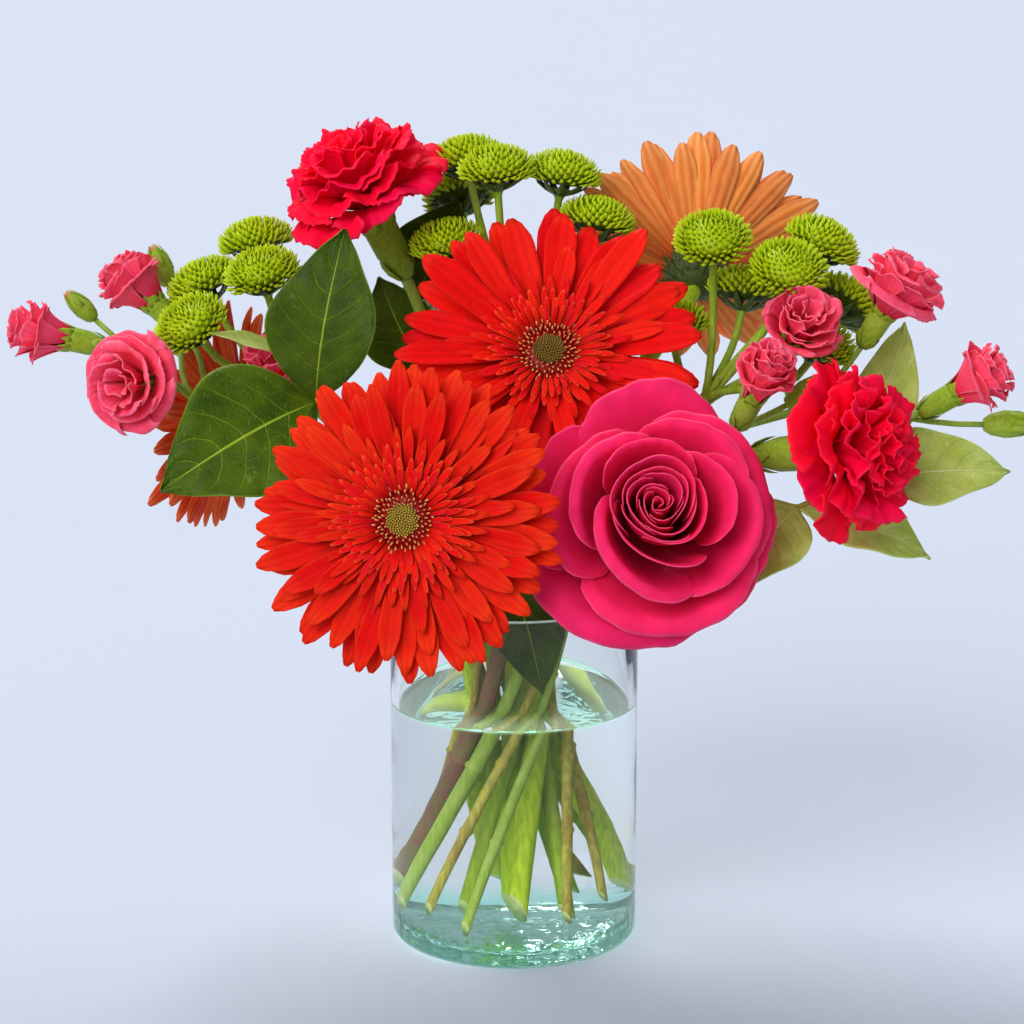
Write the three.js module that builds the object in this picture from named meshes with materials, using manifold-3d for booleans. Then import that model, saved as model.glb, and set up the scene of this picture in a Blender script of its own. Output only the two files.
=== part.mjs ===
// A bouquet of gerberas in a clear glass cylinder vase, with a rose, carnations, spray carnations,
// green button chrysanthemums and lemon-leaf foliage. Millimetres, +Z up, the vase's axis on Z and
// its foot on Z = 0. The bouquet's front looks along -Y.
import * as THREE from "three";
import { ConvexGeometry } from "three/addons/geometries/ConvexGeometry.js";
import { mergeVertices } from "three/addons/utils/BufferGeometryUtils.js";
import Module from "manifold-3d";

const wasm = await Module();
wasm.setup();

// ---------------------------------------------------------------- driving dimensions
const VASE = { radius: 50, height: 142, wall: 3, floor: 4, sides: 36 };
const WATER = { level: 97, gap: 0.3 };
const HOLE_CLEARANCE = 0.6; // round each stem that stands in the water
const SEAT = 0.3; // the gap left where one piece sits on another
const BLADE = 0.8; // thickness of a petal
const LEAF = 0.7; // thickness of a leaf

// The stems cross in the vase as a hand-tied spiral does: the bundle's rim plan is turned and
// widened on its way down to the feet, so that straight stems never meet.
const NECK_Z = VASE.height;
const SPIRAL = { turn: 120, spread: 1.45, feetZ: 8 };

// ---------------------------------------------------------------- colours, from life
const finish = (color, roughness, metalness = 0) =>
  new THREE.MeshStandardMaterial({ color, roughness, metalness });
const glass = finish(0xdff2ec, 0.05);
const water = finish(0xe6f3ef, 0.05);
const scarletPetal = finish(0xff3a10, 0.5);
const redPetal = finish(0xf01808, 0.5);
const orangePetal = finish(0xf08038, 0.55);
const rustPetal = finish(0xd8401c, 0.55);
const yellowEye = finish(0xb8a030, 0.8);
const rosePink = finish(0xe01a5c, 0.45);
const carnationRed = finish(0xd80c28, 0.6);
const sprayPink = finish(0xf03c60, 0.6);
const pomLime = finish(0x8cc010, 0.6);
const stemGreen = finish(0x7fa040, 0.5);
const stemLime = finish(0xa4c848, 0.5);
const leafGreen = finish(0x5c8a28, 0.5);

// ---------------------------------------------------------------- small helpers
const V = (x, y, z) => new THREE.Vector3(x, y, z);
const polar = (radius, angle, z) => V(radius * Math.cos(angle), radius * Math.sin(angle), z);
const UP = V(0, 0, 1);
const radians = THREE.MathUtils.degToRad;
const lerp = THREE.MathUtils.lerp;

// A repeatable random stream, one for each piece that needs one.
function seeded(seed) {
  let state = seed >>> 0;
  return () => {
    state = (state + 0x6d2b79f5) >>> 0;
    let t = Math.imul(state ^ (state >>> 15), 1 | state);
    t = (t + Math.imul(t ^ (t >>> 7), 61 | t)) ^ t;
    return ((t ^ (t >>> 14)) >>> 0) / 4294967296;
  };
}

// The unit vector of a bloom's axis: azimuth 0 looks to the front, 90 to the right.
function facing(azimuth, elevation) {
  const a = radians(azimuth);
  const e = radians(elevation);
  return V(Math.sin(a) * Math.cos(e), -Math.cos(a) * Math.cos(e), Math.sin(e));
}

// A value read off evenly spaced stations, t from 0 to 1.
function along(stations, t) {
  const place = Math.min(Math.max(t, 0), 1) * (stations.length - 1);
  const i = Math.min(Math.floor(place), stations.length - 2);
  return lerp(stations[i], stations[i + 1], place - i);
}

// ---------------------------------------------------------------- solids
function solid(geometry) {
  const bare = geometry.clone();
  bare.deleteAttribute("normal");
  bare.deleteAttribute("uv");
  const merged = mergeVertices(bare, 1e-4);
  return new wasm.Manifold(
    new wasm.Mesh({
      numProp: 3,
      vertProperties: merged.attributes.position.array,
      triVerts: new Uint32Array(merged.index.array),
    }),
  );
}

function geometryOf(manifold) {
  const mesh = manifold.getMesh();
  const geometry = new THREE.BufferGeometry();
  geometry.setAttribute("position", new THREE.BufferAttribute(mesh.vertProperties, 3));
  geometry.setIndex(new THREE.BufferAttribute(mesh.triVerts, 1));
  return geometry;
}

// Joins solids, and keeps the one body that holds together.
const WELD = 0.05;
function fuse(solids) {
  const joined = solids.reduce((a, b) => a.add(b)).simplify(WELD);
  const bodies = joined.decompose();
  bodies.sort((a, b) => b.volume() - a.volume());
  return bodies[0];
}

// A thick curved sheet: pointAt(u, v) is its middle surface, u from -1 to 1 across, v from 0 to 1
// along, split into triangles alike on both faces.
function sheet(columns, rows, pointAt, thickness) {
  const tiny = 1e-3;
  const points = [];
  for (const side of [1, -1])
    for (let j = 0; j <= rows; j++)
      for (let i = 0; i <= columns; i++) {
        const u = (2 * i) / columns - 1;
        const v = j / rows;
        const across = pointAt(u + tiny, v).sub(pointAt(u - tiny, v));
        const forward = pointAt(u, v + tiny).sub(pointAt(u, Math.max(v - tiny, 0)));
        const normal = across.cross(forward).normalize();
        points.push(pointAt(u, v).addScaledVector(normal, (side * thickness) / 2));
      }
  const width = columns + 1;
  const under = width * (rows + 1);
  const faces = [];
  const quad = (a, b, c, d) => faces.push(a, b, c, a, c, d);
  for (let j = 0; j < rows; j++)
    for (let i = 0; i < columns; i++) {
      const a = j * width + i;
      quad(a, a + 1, a + 1 + width, a + width);
      faces.push(under + a, under + a + 1 + width, under + a + 1);
      faces.push(under + a, under + a + width, under + a + 1 + width);
    }
  const rim = (a, b) => quad(a, under + a, under + b, b);
  for (let i = 0; i < columns; i++) {
    rim(i, i + 1);
    rim(rows * width + i + 1, rows * width + i);
  }
  for (let j = 0; j < rows; j++) {
    rim((j + 1) * width, j * width);
    rim(j * width + columns, (j + 1) * width + columns);
  }
  const geometry = new THREE.BufferGeometry().setFromPoints(points);
  geometry.setIndex(faces);
  return geometry;
}

// A three-sided spike from a base point to its tip.
function spike(base, tip, radius) {
  const axis = tip.clone().sub(base);
  const side = V(0.31, 0.52, 0.79).cross(axis).normalize();
  const other = axis.clone().normalize().cross(side);
  const corner = (angle) =>
    base.clone()
      .addScaledVector(side, radius * Math.cos(angle))
      .addScaledVector(other, radius * Math.sin(angle));
  const third = (2 * Math.PI) / 3;
  const points = [corner(0), corner(third), corner(2 * third), tip];
  const geometry = new THREE.BufferGeometry().setFromPoints(points);
  geometry.setIndex([0, 2, 1, 0, 1, 3, 1, 2, 3, 2, 0, 3]);
  return geometry;
}

// A solid of revolution about Z from [radius, height] pairs that run from the bottom to the top.
function turned(profile, sides) {
  const geometry = new THREE.LatheGeometry(
    profile.map(([r, z]) => new THREE.Vector2(r, z)), sides);
  return geometry.rotateX(Math.PI / 2);
}

// A smooth curve whose stations are its own points, however unevenly they are spaced.
class Route extends THREE.CatmullRomCurve3 {
  constructor(points) {
    super(points, false, "catmullrom", 0.5);
  }

  getUtoTmapping(u) {
    return u;
  }
}

// A round rod along a route, with a ring of corners at each of the route's points.
function rod(points, radius, sides) {
  const section = new THREE.Shape(
    Array.from({ length: sides }, (_, i) => {
      const angle = (2 * Math.PI * i) / sides;
      return new THREE.Vector2(radius * Math.cos(angle), radius * Math.sin(angle));
    }));
  const extrudePath = new Route(points);
  return new THREE.ExtrudeGeometry(section, { steps: points.length - 1, extrudePath });
}

// A rod whose radius changes from point to point, as [point, radius] pairs.
function tapered(stations, sides) {
  const route = new Route(stations.map(([at]) => at));
  const steps = stations.length - 1;
  const { normals, binormals } = route.computeFrenetFrames(steps, false);
  const ringAt = ([at, radius], j) => Array.from({ length: sides }, (_, i) => {
    const angle = (2 * Math.PI * i) / sides;
    return at.clone()
      .addScaledVector(normals[j], radius * Math.cos(angle))
      .addScaledVector(binormals[j], radius * Math.sin(angle));
  });
  const rings = stations.map(ringAt);
  const corners = [];
  for (let i = 0; i < sides; i++) {
    const next = (i + 1) % sides;
    corners.push(stations[0][0], rings[0][next], rings[0][i]);
    corners.push(stations[steps][0], rings[steps][i], rings[steps][next]);
    for (let j = 0; j < steps; j++) {
      const [a, b, c, d] = [rings[j][i], rings[j][next], rings[j + 1][next], rings[j + 1][i]];
      corners.push(a, b, c, a, c, d);
    }
  }
  return new THREE.BufferGeometry().setFromPoints(corners);
}

// Points of a smooth bend that leaves `start` along `leave` and arrives at `end` along `arrive`.
function bend(start, leave, end, arrive, pulls, count) {
  const curve = new THREE.CubicBezierCurve3(
    start,
    start.clone().addScaledVector(leave, pulls[0]),
    end.clone().addScaledVector(arrive, -pulls[1]),
    end,
  );
  return curve.getPoints(count);
}

// The route of a branch that forks off at `start` from a stem that runs along `onward`.
function offshoot(start, onward, end, arrive) {
  const way = end.clone().sub(start);
  const reach = way.length();
  const leave = way.normalize().addScaledVector(onward, 0.6).normalize();
  return bend(start, leave, end, arrive, [0.3 * reach, 0.4 * reach], reach > 30 ? 3 : 2);
}

// A branch along a route, which ends in a swelling given as [height, radius] pairs on its axis.
function branch(route, radius, seat, axis, swelling) {
  const stations = route.map((at) => [at, radius]);
  swelling.forEach(([height, wide]) => {
    stations.push([seat.clone().addScaledVector(axis, height), wide]);
  });
  return tapered(stations, 5);
}

// Turns local geometry so that its +Z lies along the axis and its origin on the seat.
function standing(geometry, seat, axis) {
  const turn = new THREE.Quaternion().setFromUnitVectors(UP, axis);
  const matrix = new THREE.Matrix4().compose(seat, turn, V(1, 1, 1));
  return geometry.clone().applyMatrix4(matrix);
}

const bouquet = new THREE.Group();
function addMesh(name, geometry, material, seat, axis) {
  const mesh = new THREE.Mesh(geometry, material);
  mesh.name = name;
  if (seat) mesh.position.copy(seat);
  if (axis) mesh.quaternion.setFromUnitVectors(UP, axis);
  bouquet.add(mesh);
}

// ---------------------------------------------------------------- the spiral of stems
const holes = []; // what each stem takes out of the water

// Where a stem whose place in the rim plan is (radius, azimuth) is found at height z.
function spiralPoint([radius, azimuth], z) {
  const share = (NECK_Z - z) / (NECK_Z - SPIRAL.feetZ);
  const rim = V(Math.cos(radians(azimuth)), Math.sin(radians(azimuth)), 0);
  const foot = rim.clone().applyAxisAngle(UP, -radians(SPIRAL.turn));
  return rim.multiplyScalar(radius * (1 - share))
    .addScaledVector(foot, radius * SPIRAL.spread * share)
    .setZ(z);
}

// One stem: straight from its cut foot to the vase's rim, then bent to where it ends or goes on.
function stem({ slot, foot, end, arrive, pulls, drift, onward = [] }, radius, sides, bends = 4) {
  const low = spiralPoint(slot, foot);
  const neck = spiralPoint(slot, NECK_Z);
  const leave = neck.clone().sub(low).normalize();
  const below = low.clone().addScaledVector(leave, -HOLE_CLEARANCE);
  holes.push(solid(rod([below, spiralPoint(slot, WATER.level + 12)], radius + HOLE_CLEARANCE, sides)));
  if (drift) leave.add(V(...drift)).normalize();
  return rod([low, ...bend(neck, leave, end, arrive, pulls, bends), ...onward], radius, sides);
}

// ---------------------------------------------------------------- vase and water
function vase() {
  const { radius, height, wall, floor, sides } = VASE;
  const chamfer = 3;
  const profile = [
    [0, 0], [radius - chamfer, 0], [radius, chamfer], [radius, height],
    [radius - wall, height], [radius - wall, floor], [0, floor],
  ];
  addMesh("vase", geometryOf(solid(turned(profile, sides))), glass);
}

function waterInVase() {
  const wet = VASE.radius - VASE.wall - WATER.gap;
  const low = VASE.floor + WATER.gap;
  const filled = solid(turned([[0, low], [wet, low], [wet, WATER.level], [0, WATER.level]], VASE.sides));
  const pierced = holes.reduce((body, hole) => body.subtract(hole), filled).simplify(WELD);
  addMesh("water", geometryOf(pierced), water);
}

// ---------------------------------------------------------------- blooms
// A bloom is one closed surface round Z: a heart, whose side carries a band of petals for each whorl.
function bloom({ base, whorls, crown }) {
  const corners = [];
  const face = (...points) => {
    for (let k = 1; k + 1 < points.length; k++) corners.push(points[0], points[k], points[k + 1]);
  };
  const last = (list) => list[list.length - 1];
  const closed = (ring) => [...ring, { at: ring[0].at, angle: ring[0].angle + 2 * Math.PI }];

  // The band of surface between two rings whose corners stand at different angles.
  const zip = (lower, upper) => {
    const [a, b] = [closed(lower), closed(upper)];
    let i = 0;
    let j = 0;
    while (i < a.length - 1 || j < b.length - 1) {
      const lowerFirst = j === b.length - 1 || (i < a.length - 1 && a[i + 1].angle <= b[j + 1].angle);
      if (lowerFirst) face(a[i].at, a[++i].at, b[j].at);
      else face(a[i].at, b[j + 1].at, b[j++].at);
    }
  };

  // One petal, out from a gap in the heart's side, thick by BLADE and split alike on both faces.
  const petal = (root, { columns, rows }, pointAt, angle) => {
    const tiny = 1e-3;
    const levels = [root];
    for (let j = 1; j <= rows; j++) {
      const level = { upper: [], under: [] };
      for (let k = 0; k <= columns; k++) {
        const u = (2 * k) / columns - 1;
        const v = j / rows;
        const across = pointAt(u + tiny, v).sub(pointAt(u - tiny, v));
        const forward = pointAt(u, v + tiny).sub(pointAt(u, v - tiny));
        const out = forward.cross(across).normalize().multiplyScalar(BLADE / 2);
        level.upper.push(pointAt(u, v).add(out).applyAxisAngle(UP, angle));
        level.under.push(pointAt(u, v).sub(out).applyAxisAngle(UP, angle));
      }
      levels.push(level);
    }
    for (let j = 0; j < rows; j++) {
      const [near, far] = [levels[j], levels[j + 1]];
      const middle = Math.ceil(columns / 2);
      for (let k = 0; k < columns; k++) {
        if (j === 0) {
          const n = k < middle ? 0 : 1;
          face(near.upper[n], far.upper[k], far.upper[k + 1]);
          face(near.under[n], far.under[k + 1], far.under[k]);
        } else {
          face(near.upper[k], far.upper[k], far.upper[k + 1], near.upper[k + 1]);
          face(near.under[k], far.under[k + 1], far.under[k]);
          face(near.under[k], near.under[k + 1], far.under[k + 1]);
        }
      }
      if (j === 0) {
        face(near.upper[0], far.upper[middle], near.upper[1]);
        face(near.under[0], near.under[1], far.under[middle]);
      }
      face(near.under[0], far.under[0], far.upper[0], near.upper[0]);
      face(last(near.under), last(near.upper), last(far.upper), last(far.under));
    }
    const { upper, under } = last(levels);
    for (let k = 0; k < columns; k++) face(under[k], under[k + 1], upper[k + 1], upper[k]);
  };

  let top = Array.from({ length: base.sides }, (_, i) => {
    const angle = (2 * Math.PI * (i - 0.5)) / base.sides;
    return { at: polar(base.radius, angle, 0), angle };
  });
  top.forEach(({ at }, i) => face(V(0, 0, 0), top[(i + 1) % top.length].at, at));
  whorls.forEach(({ count, turn = 0, root, columns, rows, petalAt }) => {
    const ringAt = (side) => Array.from({ length: 2 * count }, (_, k) => {
      const edge = k % 2 ? 1 : -1;
      const angle = turn + (2 * Math.PI * Math.floor(k / 2) + edge * root.share * Math.PI) / count;
      const z = root.height + edge * root.tilt + (side * BLADE) / 2;
      return { at: polar(root.radius, angle, z), angle };
    });
    const [low, high] = [ringAt(-1), ringAt(1)];
    zip(top, low);
    for (let i = 0; i < count; i++) {
      const [left, right, next] = [2 * i, 2 * i + 1, (2 * i + 2) % (2 * count)];
      const socket = { upper: [high[left].at, high[right].at], under: [low[left].at, low[right].at] };
      petal(socket, { columns, rows }, petalAt(i), turn + (2 * Math.PI * i) / count);
      face(low[right].at, low[next].at, high[next].at, high[right].at);
    }
    top = high;
  });
  crown(top, face);
  return geometryOf(solid(new THREE.BufferGeometry().setFromPoints(corners)).simplify(WELD));
}

const pointed = (height) => (ring, face) => {
  ring.forEach(({ at }, i) => face(at, ring[(i + 1) % ring.length].at, V(0, 0, height)));
};

// ---------------------------------------------------------------- gerberas
const GERBERA = { core: 11.4, face: 7.5, stem: 3.9, eye: 6 };
const FLORET = [0.3, 0.86, 1, 0.34]; // a ray floret's half-width from its root to its tip

// A ring of ray florets. Each leans over the next as the sticks of a fan do, by more where they
// crowd together near the root.
function rayFlorets({ count, reach, width, heights, cup, turn, rows, random }) {
  const { core } = GERBERA;
  const petalAt = () => {
    const tip = reach * (1 - 0.08 * random());
    const swing = 0.05 * (random() - 0.5);
    return (u, v) => {
      const r = lerp(core, tip, v);
      const y = (u * along(FLORET, v) * width) / 2;
      const lean = (1.5 * BLADE * count) / (2 * Math.PI * r);
      return V(r, y + swing * (r - core), along(heights, v) + cup * (r - core) + y * lean);
    };
  };
  const root = { radius: core, height: heights[0], share: 0.5, tilt: 0.3 };
  return { count, turn, rows, columns: 1, petalAt, root };
}

// Rings of ray florets, and short inner ones, round a flat receptacle.
function gerberaPetals({ radius, count, width, outer, inner, crown, cup, seed, rows = 3 }) {
  const random = seeded(seed);
  const { core, face: height } = GERBERA;
  const shared = { count, cup, rows, random };
  const halfStep = Math.PI / count;
  const whorls = [
    rayFlorets({ ...shared, reach: radius, width, heights: outer, turn: 0 }),
    rayFlorets({ ...shared, reach: 0.85 * radius, width: 0.9 * width, heights: inner, turn: halfStep }),
  ];
  const shortFlorets = (ring, face) => {
    const top = ring.map(({ angle }) => polar(core - 3.4, angle, height));
    ring.forEach(({ at, angle }, i) => {
      const j = (i + 1) % ring.length;
      const tip = core + crown.reach * (i % 2 ? 1 : 0.65);
      const peak = polar(tip, angle + Math.PI / ring.length, height + crown.rise + cup * (tip - core));
      const [a, b, c, d] = [at, ring[j].at, top[j], top[i]];
      face(a, b, peak);
      face(b, c, peak);
      face(c, d, peak);
      face(d, a, peak);
      face(d, c, V(0, 0, height));
    });
  };
  return bloom({ base: { radius: core - 1.5, sides: 10 }, whorls, crown: shortFlorets });
}

// The raised disc of tiny unopened florets: low relief on a dome.
function gerberaEye(radius) {
  return geometryOf(solid(spiked({ count: 17, radius, waist: 0.8, rise: 1.8, tip: 0.7 })));
}

// The hairy green cup of bracts under the bloom, from the bloom's seat downwards: each face of its
// rim is drawn up to a bract's point.
const CALYX = { radius: 12, depth: 15, bracts: 10 };
function gerberaCalyx() {
  const { radius, depth, bracts } = CALYX;
  const levels = [[4, -depth], [radius - 1.5, -0.5 * depth], [radius - 1, -SEAT]];
  const angleOf = (i) => (2 * Math.PI * i) / bracts;
  const rings = levels.map(([r, z]) => Array.from({ length: bracts }, (_, i) => polar(r, angleOf(i), z)));
  const corners = [];
  const face = (...points) => corners.push(...points);
  for (let i = 0; i < bracts; i++) {
    const j = (i + 1) % bracts;
    const [a, b, c] = rings.map((ring) => ring[i]);
    const [d, e, f] = rings.map((ring) => ring[j]);
    const peak = polar(radius + 2.4, angleOf(i + 0.5), -1.8);
    face(V(0, 0, -depth), d, a);
    face(a, d, e);
    face(a, e, b);
    face(b, e, peak);
    face(e, f, peak);
    face(f, c, peak);
    face(c, b, peak);
    face(c, f, V(0, 0, -SEAT));
  }
  return new THREE.BufferGeometry().setFromPoints(corners);
}

function gerbera(name, { centre, axis, petals, material, slot, foot, pulls, drift }) {
  const seat = V(...centre).addScaledVector(axis, -GERBERA.face);
  addMesh(`${name}_petals`, gerberaPetals(petals), material, seat, axis);
  const eyeSeat = seat.clone().addScaledVector(axis, GERBERA.face + SEAT);
  addMesh(`${name}_eye`, gerberaEye(GERBERA.eye), yellowEye, eyeSeat, axis);
  const end = seat.clone().addScaledVector(axis, -0.75 * CALYX.depth);
  const stalk = stem({ slot, foot, end, arrive: axis, pulls, drift }, GERBERA.stem, 6, 5);
  const green = [stalk, standing(gerberaCalyx(), seat, axis)];
  addMesh(`${name}_stem`, geometryOf(fuse(green.map(solid))), stemLime);
}

// ---------------------------------------------------------------- button chrysanthemums
// A dome of florets: a hull over evenly spread points, each of its faces drawn up to a floret's tip.
function spiked({ count, radius, waist, rise, tip }) {
  const golden = Math.PI * (3 - Math.sqrt(5));
  const points = Array.from({ length: count }, (_, i) => {
    const fromTop = ((i + 0.5) / count) * 0.6 * Math.PI;
    return polar(Math.sin(fromTop) * radius, i * golden, waist + Math.max(0, Math.cos(fromTop)) * rise);
  });
  const corners = 7;
  for (let i = 0; i < corners; i++) points.push(polar(0.55 * radius, (2 * Math.PI * i) / corners, 0));
  const hull = new ConvexGeometry(points).getAttribute("position");
  const middle = V(0, 0, waist);
  const triangles = [];
  for (let f = 0; f < hull.count; f += 3) {
    const [a, b, c] = [0, 1, 2].map((k) => new THREE.Vector3().fromBufferAttribute(hull, f + k));
    const centre = a.clone().add(b).add(c).divideScalar(3);
    const out = b.clone().sub(a).cross(c.clone().sub(a)).normalize();
    if (out.z < -0.5) {
      triangles.push(a, b, c);
      continue;
    }
    out.add(centre.clone().sub(middle).normalize()).normalize();
    const peak = centre.addScaledVector(out, tip);
    triangles.push(a, b, peak, b, c, peak, c, a, peak);
  }
  return new THREE.BufferGeometry().setFromPoints(triangles);
}

const POM = { radius: 15, waist: 6, rise: 9, tip: 2.6, count: 22, toCentre: 7.5 };
const POM_STEM = { main: 2.4, branch: 1.6, stagger: 6 };
const POM_BRACTS = [[-4.5, 2.2], [-SEAT, 6.8]]; // [height, radius] from the head's seat

function pomSpray(name, { slot, foot, fork, arrive, pulls, drift, heads }) {
  const end = V(...fork);
  const green = [stem({ slot, foot, end, arrive: arrive.normalize(), pulls, drift }, POM_STEM.main, 6)];
  heads.forEach(({ centre, axis }, i) => {
    axis.normalize();
    const seat = V(...centre).addScaledVector(axis, -POM.toCentre);
    const head = geometryOf(solid(spiked(POM)));
    addMesh(`${name}_head_${i + 1}`, head, pomLime, seat, axis);
    const start = end.clone().addScaledVector(arrive, -1 - POM_STEM.stagger * (i % 3));
    const route = offshoot(start, arrive, seat.clone().addScaledVector(axis, -7), axis);
    green.push(branch(route, POM_STEM.branch, seat, axis, POM_BRACTS));
  });
  addMesh(`${name}_stem`, geometryOf(fuse(green.map(solid))), stemGreen);
}

// ---------------------------------------------------------------- carnations
// Wedge-shaped petals that share one waved cone. Neighbours overlap by `lap` columns and lean over
// each other by `slip`, a step out and up for each unit of u, so that they never cross.
function wedges({
  count, turn, radii, heights, slip, columns = 3, rows = 2, lap = 1, round = 0.1, wave = 0,
}) {
  const half = ((columns / (columns - lap)) * Math.PI) / count;
  const pointAt = (u, v) => {
    const reached = v * (1 - round * u * u);
    const crimp = wave * v * Math.cos((Math.PI * columns * (u + 1)) / 2);
    const r = along(radii, reached) + slip[0] * u;
    return polar(r, half * u, along(heights, reached) + slip[1] * u + crimp);
  };
  const root = { radius: radii[0], height: heights[0], share: 0.5, tilt: -0.3 };
  return { count, turn, columns, rows, root, petalAt: () => pointAt };
}

// A tube-shaped calyx with teeth that stand round the petals' neck.
function carnationCalyx({ neck, sides, calyx: { radius, length, teeth } }) {
  const tube = turned([[0, -length], [0.45 * radius, -length], [0.95 * radius, -0.55 * length],
    [radius, -SEAT], [0, -SEAT]], sides);
  const ring = (radius + neck) / 2 + 0.5;
  const tooth = spike(V(ring, 0, -2), V(ring + 1.1, 0, 3.2), 1);
  const pieces = [tube];
  for (let i = 0; i < teeth; i++) pieces.push(tooth.clone().rotateZ((2 * Math.PI * i) / teeth));
  return pieces;
}

const CARNATION = {
  neck: 4.2, stem: 2.6, sides: 8,
  calyx: { radius: 7.2, length: 28, teeth: 5 },
  whorls: [
    { count: 7, radii: [4.2, 15, 33], heights: [5, 9, 10], wave: 2.6, slip: [0.1, -0.9], turn: 0 },
    { count: 7, radii: [4, 12, 25], heights: [7, 13, 22], wave: 2.3, slip: [0.5, -0.8], turn: 0.4 },
    { count: 5, radii: [3.8, 8.5, 17], heights: [9, 19, 30], wave: 1.8, slip: [0.8, -0.5], turn: 0.2 },
    { count: 3, radii: [3, 4.2, 7], heights: [11, 21, 34], lap: 0, wave: 1, slip: [0.8, 0], turn: 0.5 },
  ],
};
function carnation(name, { seat, axis, spin, slot, foot, pulls, drift, scale = 1 }) {
  axis.normalize();
  const at = V(...seat);
  const grown = (values) => values.map((value) => value * scale);
  const whorls = CARNATION.whorls.map(({ radii, heights, ...whorl }) => (
    wedges({ ...whorl, radii: grown(radii), heights: grown(heights) })));
  const base = { radius: CARNATION.neck, sides: CARNATION.sides };
  const petals = bloom({ base, whorls, crown: pointed(12) });
  addMesh(`${name}_petals`, petals.rotateZ(spin), carnationRed, at, axis);
  const end = at.clone().addScaledVector(axis, -0.9 * CARNATION.calyx.length);
  const green = [stem({ slot, foot, end, arrive: axis, pulls, drift }, CARNATION.stem, 6)];
  carnationCalyx(CARNATION).forEach((piece) => green.push(standing(piece, at, axis)));
  addMesh(`${name}_stem`, geometryOf(fuse(green.map(solid))), stemGreen);
}

// Spray carnations: `open` is how far a bloom has opened, from 0.5 to 1.
const SPRAY = {
  main: 1.9, branch: 1.1, stagger: 4.5, neck: 2.6,
  calyx: [[-17, 2], [-8, 4.3], [-SEAT, 4.6]], // [height, radius] from the bloom's seat
};
function sprayPetals(open) {
  const outer = { radii: [2.6, 3 + 5.5 * open, 20 * open], heights: [4, 10, 18 - 10 * open] };
  const inner = { radii: [2.4, 1.5 + 3 * open, 11 * open], heights: [6, 13, 20] };
  const whorls = [
    wedges({ ...outer, count: 5, columns: 2, lap: 0, round: 0.06, wave: 1.5, slip: [0.3, -0.7], turn: 0 }),
    wedges({ ...inner, count: 3, lap: 0, wave: 1, slip: [0.7, -0.3], turn: 0.4 }),
  ];
  return bloom({ base: { radius: SPRAY.neck, sides: 6 }, whorls, crown: pointed(7) });
}

// A closed bud, as [height, radius] pairs from its base to its pointed tip.
const budShape = (length, radius) => [
  [0, 0.55 * radius], [0.35 * length, radius], [0.65 * length, 0.8 * radius], [length, 0.12 * radius],
];

function carnationSpray(name, { slot, foot, route, pulls, drift, blooms, buds }) {
  const points = route.map((p) => V(...p));
  const [low, high] = points;
  const arrive = high.clone().sub(low).normalize();
  const green = [stem({ slot, foot, end: low, arrive, pulls, drift, onward: [high] }, SPRAY.main, 5)];
  const offset = (from, seat, axis, clear) => {
    const start = points[from].clone().addScaledVector(arrive, -SPRAY.stagger * (green.length % 3));
    return offshoot(start, arrive, seat.clone().addScaledVector(axis, -clear), axis);
  };
  blooms.forEach(({ seat, axis, open, from }, i) => {
    axis.normalize();
    const at = V(...seat);
    addMesh(`${name}_bloom_${i + 1}`, sprayPetals(open).rotateZ(0.9 * i), sprayPink, at, axis);
    const route = offset(from, at, axis, 2 - SPRAY.calyx[0][0]);
    green.push(branch(route, SPRAY.branch, at, axis, SPRAY.calyx));
  });
  buds.forEach(({ seat, axis, length, radius, from }) => {
    axis.normalize();
    const at = V(...seat);
    const route = offset(from, at, axis, 2);
    green.push(branch(route, SPRAY.branch, at, axis, budShape(length, radius)));
  });
  addMesh(`${name}_stem`, geometryOf(fuse(green.map(solid))), stemGreen);
}

// ---------------------------------------------------------------- the rose
// Whorls from the outermost to the heart: radii and heights of a petal from its root to its edge.
const ROSE = {
  stem: 3.4, hip: 14, base: 7,
  whorls: [
    {
      count: 5, turn: 0, radii: [9, 27, 41, 50], heights: [2.5, 6, 14, 19], slip: [0.5, -1],
      rows: 3, columns: 4,
    },
    {
      count: 5, turn: 0.5, radii: [8, 21, 31, 39], heights: [5, 12, 25, 34], slip: [0.9, -0.6],
      rows: 3, columns: 4,
    },
    { count: 4, turn: 0.2, radii: [7, 16, 24], heights: [7.5, 20, 40], slip: [1.1, -0.2] },
    { count: 3, turn: 0.7, radii: [6, 10, 15], heights: [10, 22, 41], slip: [1.1, 0] },
    { count: 3, turn: 0.1, radii: [3.5, 5, 7.5], heights: [12.5, 24, 40], slip: [0.8, 0], lap: 0 },
  ],
};

function rosePetals() {
  const whorls = ROSE.whorls.map((whorl) => wedges({ round: 0.16, ...whorl }));
  return bloom({ base: { radius: ROSE.base, sides: 8 }, whorls, crown: pointed(14) });
}

function rose(name, { seat, axis, slot, foot, pulls, drift }) {
  axis.normalize();
  const at = V(...seat);
  addMesh(`${name}_petals`, rosePetals(), rosePink, at, axis);
  const end = at.clone().addScaledVector(axis, -0.8 * ROSE.hip);
  const hip = turned([[0, -ROSE.hip], [3.5, -ROSE.hip], [7.5, -8], [8, -SEAT], [0, -SEAT]], 8);
  const stalk = stem({ slot, foot, end, arrive: axis, pulls, drift }, ROSE.stem, 6);
  const green = [stalk, standing(hip, at, axis)];
  const sepals = 5;
  for (let i = 0; i < sepals; i++) {
    const pointAt = (u, v) => V(lerp(4, 24, v), u * lerp(3.6, 0.5, v), -1.9 - 9 * v * v);
    const sepal = sheet(1, 2, pointAt, BLADE).rotateZ((2 * Math.PI * i) / sepals);
    green.push(standing(sepal, at, axis));
  }
  addMesh(`${name}_stem`, geometryOf(fuse(green.map(solid))), stemGreen);
}

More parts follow.
